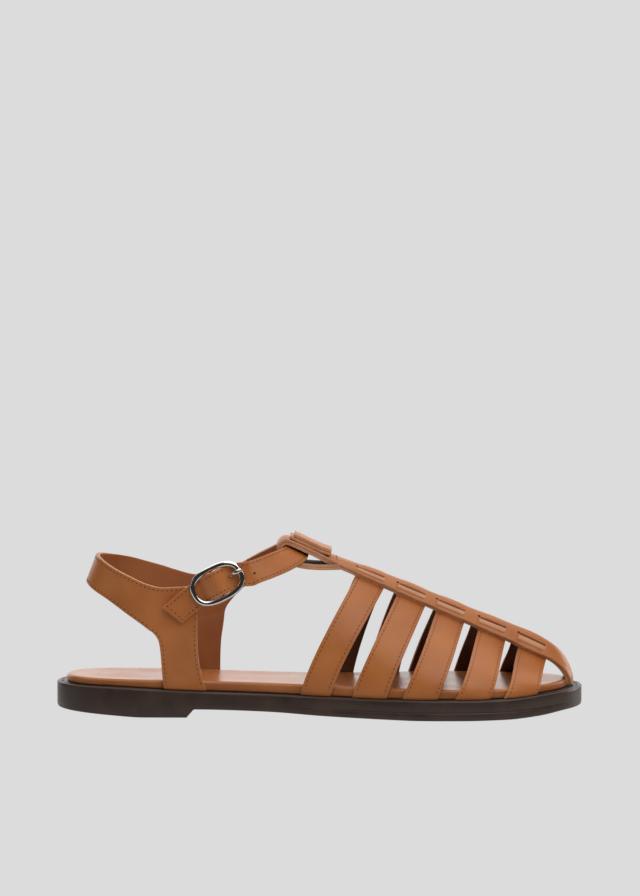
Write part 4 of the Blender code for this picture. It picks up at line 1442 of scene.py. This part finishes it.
@dataclass
class Quarter:
    """Heel band, two legs and the ankle strap cut with them, through the loop and the buckle."""

    last: Last
    finishes: Finishes
    band: tuple[BandRow, ...] = (
        BandRow((70.8, -29.6, 63.6), (71.4, -29.7, 46.0)),
        BandRow((67.0, -29.6, 65.4), (66.0, -29.6, 45.7)),
        BandRow((60.0, -29.2, 65.2), (57.0, -29.2, 45.4)),
        BandRow((53.0, -28.7, 65.0), (47.8, -28.0, 43.3)),
        BandRow((45.5, -27.4, 66.8), (43.0, -26.8, 46.8)),
        BandRow((38.0, -25.2, 70.0), (36.0, -24.4, 51.6)),
        BandRow((29.5, -20.4, 74.0), (27.3, -20.0, 57.6)),
        BandRow((23.4, -12.0, 77.4), (19.0, -12.4, 62.4)), BandRow((20.9, 0.0, 79.0), (15.6, 0.0, 65.0)),
        BandRow((22.8, 11.6, 78.4), (18.4, 12.4, 63.6)), BandRow((28.2, 19.6, 77.0), (25.6, 19.8, 60.0)),
        BandRow((36.0, 24.6, 75.2), (34.8, 24.6, 54.8)), BandRow((44.0, 27.4, 72.8), (45.0, 27.4, 50.2)),
        BandRow((52.0, 28.8, 70.4), (55.0, 28.7, 46.0)), BandRow((60.0, 29.6, 67.8), (64.0, 29.4, 44.6)),
        BandRow((68.6, 30.2, 65.6), (74.0, 29.8, 44.6)), BandRow((77.5, 30.8, 66.0), (84.2, 30.4, 47.4)),
        BandRow((84.5, 31.2, 67.7), (87.2, 31.2, 52.2)), BandRow((91.0, 30.6, 70.7), (94.6, 31.2, 59.6)),
        BandRow((97.0, 26.8, 74.4), (104.6, 28.0, 65.0)), BandRow((104.6, 19.6, 79.0), (114.8, 20.4, 71.0)),
        BandRow((113.0, 11.8, 83.7), (123.4, 11.8, 76.2)), BandRow((114.9, 0.0, 84.2), (126.4, 0.0, 79.0)),
        BandRow((114.5, -10.4, 82.9), (125.6, -10.4, 76.9)),
        BandRow((109.0, -18.0, 81.4), (119.6, -18.4, 73.6)),
        BandRow((102.4, -25.4, 79.5), (111.6, -26.2, 70.6)),
        BandRow((96.4, -29.8, 77.9), (103.4, -30.8, 67.8)),
    )
    thread: tuple[ThreadRow, ...] = (
        ThreadRow(16.6, -2.9, -3.3, -9.0), ThreadRow(12.3, -1.2, -2.7, -5.0),
        ThreadRow(8.3, -0.2, -2.5, -2.0), ThreadRow(4.0, 0.35, 0.5, 0.0), ThreadRow(0.0, 0.6, 2.2, 0.0),
        ThreadRow(-4.0, 0.35, 0.5, 0.0), ThreadRow(-8.3, -0.1, -2.5, 2.0),
        ThreadRow(-12.3, -0.7, -2.7, 6.0), ThreadRow(-19.5, -2.2, -2.9, 13.0),
        ThreadRow(-27.0, -4.0, -2.7, 24.6),
    )
    outer_leg: tuple[LegRow, ...] = (
        LegRow(42.1, 49.5, 71.4, 29.55, 1.25), LegRow(40.0, 51.2, 71.4, 29.4, 0.95),
        LegRow(37.4, 52.3, 71.5, 29.2, 0.7), LegRow(32.6, 53.0, 71.7, 28.8, 0.4),
        LegRow(26.0, 53.5, 72.5, 28.2, 0.15), LegRow(19.5, 54.0, 73.8, 27.8))
    inner_leg: tuple[LegRow, ...] = (
        LegRow(40.0, 58.6, 83.3, 29.0), LegRow(33.0, 60.4, 82.3, 28.0), LegRow(26.0, 61.2, 81.9, 27.0),
        LegRow(19.5, 61.7, 81.8, 26.2))
    leg_bases: tuple[tuple[float, float], ...] = ((54.7, 75.8), (62.0, 81.8))
    leg_spans: tuple[tuple[int, int], ...] = ((0, 3), (13, 16))
    strap_half_width: float = 6.3
    wall: Wall = Wall(1.9)
    steps: int = 8
    columns: int = 14
    leg_steps: int = 35
    leg_reach: int = 3
    seam_inset: float = 1.5
    seam: Stitching = Stitching()
    punched_hole: tuple[float, float, float] = (100.0, -28.5, 72.3)
    punch_radius: float = 0.8
    punch_sides: int = 20
    punch_depth: float = 9.0
    prong_slot: tuple[float, float, float] = (8.4, 1.2, 1.3)
    prong_slot_lift: float = -1.0

    def build(self) -> None:
        """Make and dress the wall and its stitching."""
        band = self.band_sheet()
        legs = [self.leg_sheet(band, side) for side in Side]
        punches = self.punches()
        wall = self.wall.build("heel_quarter", [band, *legs], self.finishes, cutters=punches)
        for punch in punches:
            bpy.data.objects.remove(punch)
        mount(wall, "strap_leather", "quarter")
        seams = self.seam.build("heel_quarter_seams", self.seam_rows(band, legs), wall,
                                self.finishes.thread, self.finishes.needle_hole_painted_shade)
        mount(seams, "strap_leather")

    def edges(self) -> RowCurve:
        """Run both edges from the outer front round the heel to the end of the tail.

        Returns:
            Rows of lower and upper edge points.
        """
        rows = [(*row.lower, *row.upper) for row in self.band]
        for row in self.thread:
            turn = math.radians(row.turn)
            step = (-math.sin(turn) * self.strap_half_width, math.cos(turn) * self.strap_half_width)
            upper = BuckleAxes.point(row.place + step[0], row.side + step[1], row.lift)
            lower = BuckleAxes.point(row.place - step[0], row.side - step[1], row.lift)
            rows.append((*lower, *upper))
        return RowCurve(rows)

    def band_sheet(self) -> np.ndarray:
        """Lay the band and the strap, by step along them and by column from lower to upper edge."""
        curve = self.edges()
        rows = curve(np.arange((curve.count - 1) * self.steps + 1) / self.steps)
        self.carry_on_leg_edges(curve, rows)
        share = np.linspace(0, 1, self.columns + 1)[None, :, None]
        return rows[:, None, :3] * (1 - share) + rows[:, None, 3:] * share

    def carry_on_leg_edges(self, curve: RowCurve, rows: np.ndarray) -> None:
        """Run the free lower edge smoothly into the edges of the legs.

        Args:
            curve: Rows of lower and upper edge points.
            rows: The points laid along it, changed in place.
        """
        lower = curve.rows[1:-1, :3]
        (_, outer_back), (inner_back, inner_front) = self.leg_spans
        outer, inner = self.outer_leg[0], self.inner_leg[0]
        spans = (
            (outer_back, inner_back, (outer.back, outer.turn - outer.out, outer.height),
             (inner.back, inner.out - inner.turn, inner.height)),
            (inner_front, curve.count - 1, (inner.front, inner.out, inner.height), None))
        for first, last, before, after in spans:
            free = RowCurve(lower[first:last + 1], before, after)
            rows[first * self.steps:last * self.steps + 1, :3] = free(
                np.arange((last - first) * self.steps + 1) / self.steps)

    def leg_sheet(self, band: np.ndarray, side: Side) -> np.ndarray:
        """Lay a leg below the band.

        Args:
            band: The band's sheet.
            side: The side of the shoe.

        Returns:
            Points by station along the band and by column from the sole up to the band.
        """
        number = 0 if side is Side.OUTER else 1
        leg, base = (self.outer_leg, self.inner_leg)[number], self.leg_bases[number]
        first, last = self.leg_spans[number]
        stations = band[first * self.steps:last * self.steps + 1]
        share = np.linspace(1, 0, len(stations)) if side is Side.OUTER else np.linspace(0, 1, len(stations))
        along = base[0] + (base[1] - base[0]) * share
        rows = [self.last.wall_foot(side, along, self.wall.thickness)]
        for row in reversed(leg):
            place = row.back + (row.front - row.back) * share
            rows.append(np.stack([place, side.value * (row.out - row.turn * (1 - share) ** 2),
                                  np.full_like(place, row.height)], axis=1))
        rows.append(stations[:, 0])
        ahead = stations[:, 1].copy()
        ahead[-1] = band[last * self.steps + self.leg_reach, 0]
        if side is Side.INNER:
            ahead[0] = band[first * self.steps - self.leg_reach, 0]
        curve = RowCurve([row.ravel() for row in rows], after=ahead.ravel())
        steps = curve(np.linspace(0, len(leg) + 1, self.leg_steps + 1))
        sheet = steps.reshape(self.leg_steps + 1, len(stations), 3).transpose(1, 0, 2)
        sheet[:, -1] = stations[:, 0]
        return sheet

    def punches(self) -> list[bpy.types.Object]:
        """Make the cutters for the spare hole and for the one that the prong sits in."""
        made = []
        place, across, slot_radius = self.prong_slot
        slot = BuckleAxes.point(place, across, self.prong_slot_lift)
        for centre, radius in ((self.punched_hole, self.punch_radius), (slot, slot_radius)):
            punch = add_primitive(
                bpy.ops.mesh.primitive_cylinder_add, "strap_punch", vertices=self.punch_sides,
                radius=radius * MM, depth=self.punch_depth * MM, location=Vector(to_metres(centre)),
                rotation=(math.pi / 2, 0, 0))
            bpy.ops.object.transform_apply()
            made.append(dress(punch, self.finishes.edge))
        return made

    def seam_rows(self, band: np.ndarray, legs: Sequence[np.ndarray]) -> list[np.ndarray]:
        """Give the paths of the stitching along the edges.

        Args:
            band: The band's sheet.
            legs: The legs' sheets.

        Returns:
            Paths on the outer face.
        """
        lift = self.wall.thickness / 2
        faces = band + sheet_normals(band) * lift
        widths = np.linalg.norm(band[:, -1] - band[:, 0], axis=1)
        share = (self.seam_inset / widths)[:, None]
        low = band[:, 0] * (1 - share) + band[:, -1] * share + (faces[:, 0] - band[:, 0])
        high = band[:, 0] * share + band[:, -1] * (1 - share) + (faces[:, -1] - band[:, -1])
        (_, outer_back), (inner_back, inner_front) = (
            [end * self.steps for end in span] for span in self.leg_spans)
        rows = [high[2:-2], low[outer_back:inner_back], low[inner_front:-2]]
        for leg in legs:
            spans = np.linalg.norm(leg[-1] - leg[0], axis=1)
            outward = sheet_normals(leg) * lift
            inset = (self.seam_inset / spans)[:, None]
            start = leg[0] * (1 - inset) + leg[-1] * inset + outward[0]
            finish = leg[0] * inset + leg[-1] * (1 - inset) + outward[-1]
            rows += [start[1:], finish[1:]]
        return rows + [faces[1][1:-1], faces[-3][1:-1]]


class TabLayer(NamedTuple):
    """One layer of the instep tab: ends, foot and top above the centre strap, and half width."""

    back: float
    front: float
    foot: float
    top: float
    half_width: float


@dataclass
class InstepTab:
    """Two-layer leather tab on top of the instep fold."""

    finishes: Finishes
    line: CentreLine
    layers: tuple[TabLayer, ...] = (
        TabLayer(117.4, 138.0, 0.05, 1.6, 9.6), TabLayer(118.9, 137.7, 1.65, 3.2, 9.3))
    steps: int = 26
    columns: int = 22
    crown: float = 0.4
    edge: float = 0.35

    def build(self) -> None:
        """Make and dress both layers."""
        made = []
        for back, front, foot, top, half_width in self.layers:
            along = np.linspace(back, front, self.steps + 1)
            share = np.linspace(-1, 1, self.columns + 1)[None, :, None]
            place = self.line.place_at(along)[:, None]
            middle = self.line.point(place, 0.0, 0.0)
            upward = middle - self.line.point(place, 0.0, 1.0)
            lift = (foot + top) / 2 - self.crown * share * share
            points = middle + upward * lift + share * half_width * np.array([0.0, 1.0, 0.0])
            layer = dress(grid_piece("instep_tab_layer", points[:, ::-1]), self.finishes.strap,
                          self.finishes.edge)
            thicken(layer, top - foot, 0.0, self.edge)
            made.append(smooth(layer))
        mount(join(made, "instep_tab_layers"), "strap_leather", "instep_tab")


@dataclass
class Buckle:
    """Polished oval buckle with a centre bar, its prong, and the leather fold that holds it."""

    finishes: Finishes
    length: float = 28.0
    width: float = 19.0
    shift: tuple[float, float] = (0.5, 0.2)
    wire: float = 1.4
    wire_depth: float = 1.15
    wire_steps: int = 96
    wire_sides: int = 20
    roundness: float = 0.76
    bar_radius: float = 0.9
    bar_sink: float = 1.2
    bar_steps: int = 12
    prong_radius: float = 0.7
    prong_swell: float = 0.35
    prong_swell_run: tuple[float, float] = (6.0, 9.5)
    prong_shift: float = 1.2
    prong_shift_run: tuple[float, float] = (1.5, 8.0)
    prong_steps: int = 60
    prong_eye: tuple[int, ...] = (150, 185, 225, 265, 300)
    prong_run: tuple[tuple[float, float], ...] = (
        (3.6, -2.6), (6.0, -2.2), (8.4, -0.6), (10.2, 1.2), (11.8, 2.1), (13.6, 2.0))
    fold_half_width: float = 4.6
    fold_wall: float = 0.8
    fold_edge: float = 0.15
    fold_bend: tuple[int, ...] = (90, 60, 30, 0, -30, -60, -90)
    fold_steps: int = 90
    fold_columns: int = 17
    fold_path: tuple[tuple[float, float], ...] = ((-17.0, -6.9), (-11.0, -6.8), (-5.6, -3.3))
    fold_return: tuple[tuple[float, float], ...] = ((-5.6, -5.0), (-11.0, -7.6), (-17.0, -7.6))
    notch: tuple[float, float] = (1.15, -4.2)

    def build(self) -> None:
        """Make and dress the frame, the prong and the fold."""
        mount(dress(self.oval(), self.finishes.metal), "polished_metal", "buckle_frame")
        mount(dress(self.prong(), self.finishes.metal), "polished_metal", "buckle_prong")
        mount(self.fold(), "strap_leather", "buckle_chape")

    def oval(self) -> bpy.types.Object:
        """Make the oval frame and its centre bar."""
        turns, minor = (np.linspace(0, 2 * math.pi, count, endpoint=False)
                        for count in (self.wire_steps, self.wire_sides))
        ring = add_primitive(bpy.ops.mesh.primitive_torus_add, "buckle_oval", major_segments=self.wire_steps,
                             minor_segments=self.wire_sides)
        ends = []
        for cosine, half in ((np.cos(turns), self.length / 2), (np.sin(turns), self.width / 2)):
            ends.append((half - self.wire) * np.sign(cosine) * np.abs(cosine) ** self.roundness)
        middle = np.stack(ends, axis=1)
        run = unit(np.roll(middle, -1, axis=0) - np.roll(middle, 1, axis=0))
        away = np.stack([run[:, 1], -run[:, 0]], axis=1)
        flat = middle[:, None, :] + away[:, None, :] * np.cos(minor)[None, :, None] * self.wire
        lift = np.broadcast_to(np.sin(minor) * self.wire_depth, flat.shape[:2])
        points = BuckleAxes.point(flat[..., 0] + self.shift[0], flat[..., 1] + self.shift[1], lift)
        place_points(ring, points)
        merge_points(smooth(ring))
        reach = self.width / 2 - self.wire
        across = np.linspace(-reach, reach, self.bar_steps)
        bar = tube_piece("buckle_bar", BuckleAxes.point(0 * across, across, 0 * across - self.bar_sink),
                         np.full(self.bar_steps, self.bar_radius), BuckleAxes.ALONG)
        return join([ring, bar], "buckle_oval")

    def round_bar(self, half_thickness: float, degrees: Sequence[int]) -> list[tuple[float, float]]:
        """Run round the centre bar.

        Args:
            half_thickness: Half the thickness of what is bent round it.
            degrees: The turns at which points are wanted.

        Returns:
            Places along the strap and lifts.
        """
        radius = self.bar_radius + GAP + half_thickness
        return [(radius * math.cos(a), -self.bar_sink + radius * math.sin(a)) for a in np.radians(degrees)]

    def prong(self) -> bpy.types.Object:
        """Make the prong, round from its eye on the bar to its rounded tip."""
        rows = [*self.round_bar(self.prong_radius, self.prong_eye), *self.prong_run]
        place, lift = RowCurve(rows)(np.linspace(0, len(rows) - 1, self.prong_steps)).T
        points = BuckleAxes.point(place, self.prong_shift * smooth_step(place, *self.prong_shift_run), lift)
        radii = self.prong_radius + self.prong_swell * smooth_step(place, *self.prong_swell_run)
        return tube_piece("buckle_pin", points, radii, BuckleAxes.ACROSS)

    def fold(self) -> bpy.types.Object:
        """Make the leather fold round the centre bar, with its notch for the prong."""
        bend = self.round_bar(self.fold_wall / 2, self.fold_bend)
        rows = [*self.fold_path, *bend, *self.fold_return]
        path = RowCurve(rows)(np.linspace(0, len(rows) - 1, self.fold_steps))
        across = np.linspace(-self.fold_half_width, self.fold_half_width, self.fold_columns)
        points = BuckleAxes.point(*np.broadcast_arrays(path[:, :1], across, path[:, 1:]))
        middles = np.abs((across[1:] + across[:-1]) / 2)
        notch = (path[:-1, :1] > self.notch[1]) & (middles < self.notch[0])[None, :]
        piece = dress(grid_piece("buckle_fold", points, notch), self.finishes.strap, self.finishes.edge)
        thicken(piece, self.fold_wall, 0.0, self.fold_edge, even=False)
        return smooth(piece)


class Lamp(NamedTuple):
    """A soft lamp: place, aim, size, power and colour."""

    place: tuple[float, float, float]
    aim: tuple[float, float, float]
    size: tuple[float, float]
    power: float
    colour: tuple[float, float, float]


@dataclass
class Studio:
    """Plain pale floor that sweeps up all round, soft lamps and the camera."""

    floor_radius: float = 1.2
    floor_sides: int = 128
    sweep_rings: tuple[tuple[float, float], ...] = (
        (1.2, 0.0), (2.6, 0.0), (3.1, 0.06), (3.5, 0.24), (3.8, 0.55), (4.0, 1.0), (4.1, 1.6), (4.1, 3.4))
    floor_colour: Colour = (0.0, 0.0, 0.0, 1.0)
    floor_roughness: float = 0.95
    floor_glow: float = 0.716
    card_size: tuple[float, float] = (1.2, 0.9)
    card_centre: tuple[float, float, float] = (0.0, 0.35, 0.0003)
    lamps: tuple[Lamp, ...] = (
        Lamp((-0.05, 0.25, 1.4), (0.0, 0.0, 0.05), (2.2, 2.0), 21.0, (1.0, 0.98, 0.96)),
        Lamp((0.0, 1.5, 0.42), (0.0, 0.0, 0.2), (2.6, 0.84), 10.0, (1.0, 0.98, 0.97)),
        Lamp((0.55, -1.05, 1.2), (0.0, 0.0, 0.05), (1.8, 1.2), 14.0, (1.0, 0.98, 0.97)),
        Lamp((1.5, 1.2, 0.5), (0.08, 0.0, 0.04), (0.8, 0.7), 8.0, (1.0, 0.98, 0.97)),
        Lamp((-1.4, -0.3, 0.4), (0.0, 0.0, 0.05), (0.3, 0.8), 0.6, (1.0, 1.0, 1.0)),
    )
    ambient: float = 0.03
    lens: float = 200.0
    view_depth: float = 50.0
    pitch: float = math.radians(4.5)
    distance: float = 2.514
    aim_height: float = 0.13205
    aim_along: float = 0.0001

    def build(self) -> None:
        """Set the floor, the lamps, the surrounding light and the camera."""
        self.floor()
        for number, lamp in enumerate(self.lamps, 1):
            self.light(number, lamp)
        self.surroundings()
        self.camera()
        bpy.context.scene.view_settings.view_transform = "Standard"

    def floor(self) -> None:
        """Make the floor, the sweep that only the camera sees and the card that shines in the metal."""
        graph = Graph("studio_paper")
        graph.set(Base_Color=self.floor_colour, Roughness=self.floor_roughness, Emission_Color=WHITE,
                  Emission_Strength=self.floor_glow, Specular_IOR_Level=0.0)
        floor = add_primitive(bpy.ops.mesh.primitive_circle_add, "studio_floor", vertices=self.floor_sides,
                              radius=self.floor_radius, fill_type="NGON")
        sweep = add_primitive(bpy.ops.mesh.primitive_circle_add, "studio_sweep", vertices=self.floor_sides,
                              radius=self.floor_radius)
        bpy.ops.object.mode_set(mode="EDIT")
        bpy.ops.mesh.select_all(action="SELECT")
        radius, height = self.sweep_rings[0]
        for new_radius, new_height in self.sweep_rings[1:]:
            bpy.ops.mesh.extrude_edges_move()
            bpy.ops.transform.resize(value=(new_radius / radius, new_radius / radius, 1.0))
            bpy.ops.transform.translate(value=(0.0, 0.0, new_height - height))
            radius, height = new_radius, new_height
        bpy.ops.object.mode_set(mode="OBJECT")
        sweep.visible_diffuse = sweep.visible_glossy = sweep.visible_shadow = False
        card = add_primitive(bpy.ops.mesh.primitive_plane_add, "studio_bounce_card", size=1.0,
                             location=self.card_centre)
        bpy.ops.transform.resize(value=(*self.card_size, 1.0))
        bpy.ops.object.transform_apply()
        card.visible_camera = card.visible_diffuse = card.visible_shadow = False
        floor.visible_glossy = False
        for piece in (floor, sweep, card):
            dress(smooth(piece), graph.material)

    @staticmethod
    def light(number: int, lamp: Lamp) -> None:
        """Hang one soft lamp."""
        data = bpy.data.lights.new(f"soft_lamp_{number}", "AREA")
        data.shape, data.energy, data.color = "RECTANGLE", lamp.power, lamp.colour
        data.size, data.size_y = lamp.size
        obj = bpy.data.objects.new(data.name, data)
        bpy.context.scene.collection.objects.link(obj)
        obj.location = lamp.place
        obj.rotation_euler = (Vector(lamp.aim) - Vector(lamp.place)).to_track_quat("-Z", "Y").to_euler()
        obj.visible_camera = False

    def surroundings(self) -> None:
        """Set an even light from all round."""
        world = bpy.data.worlds.new("soft_room")
        world.use_nodes = True
        background = world.node_tree.nodes["Background"]
        background.inputs["Color"].default_value = WHITE
        background.inputs["Strength"].default_value = self.ambient
        bpy.context.scene.world = world

    def camera(self) -> None:
        """Set the camera at the photograph's angle."""
        data = bpy.data.cameras.new("photo_camera")
        data.lens = self.lens
        data.clip_end = self.view_depth
        camera = bpy.data.objects.new(data.name, data)
        bpy.context.scene.collection.objects.link(camera)
        cos, sin = math.cos(self.pitch), math.sin(self.pitch)
        camera.location = (self.aim_along, -self.distance * cos + self.aim_height * sin,
                           self.distance * sin + self.aim_height * cos)
        camera.rotation_euler = (math.pi / 2 - self.pitch, 0.0, 0.0)
        bpy.context.scene.camera = camera


def main() -> None:
    """Build the studio and the sandal."""
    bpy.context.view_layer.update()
    Studio().build()
    finishes, last, line = Finishes(), Last(), CentreLine()
    Sole(last, finishes).build()
    Cage(last, finishes, line).build()
    Quarter(last, finishes).build()
    InstepTab(finishes, line).build()
    Buckle(finishes).build()
    bpy.context.view_layer.update()


if __name__ == "__main__":
    logging.basicConfig(level=logging.INFO, format="%(name)s: %(message)s")
    main()
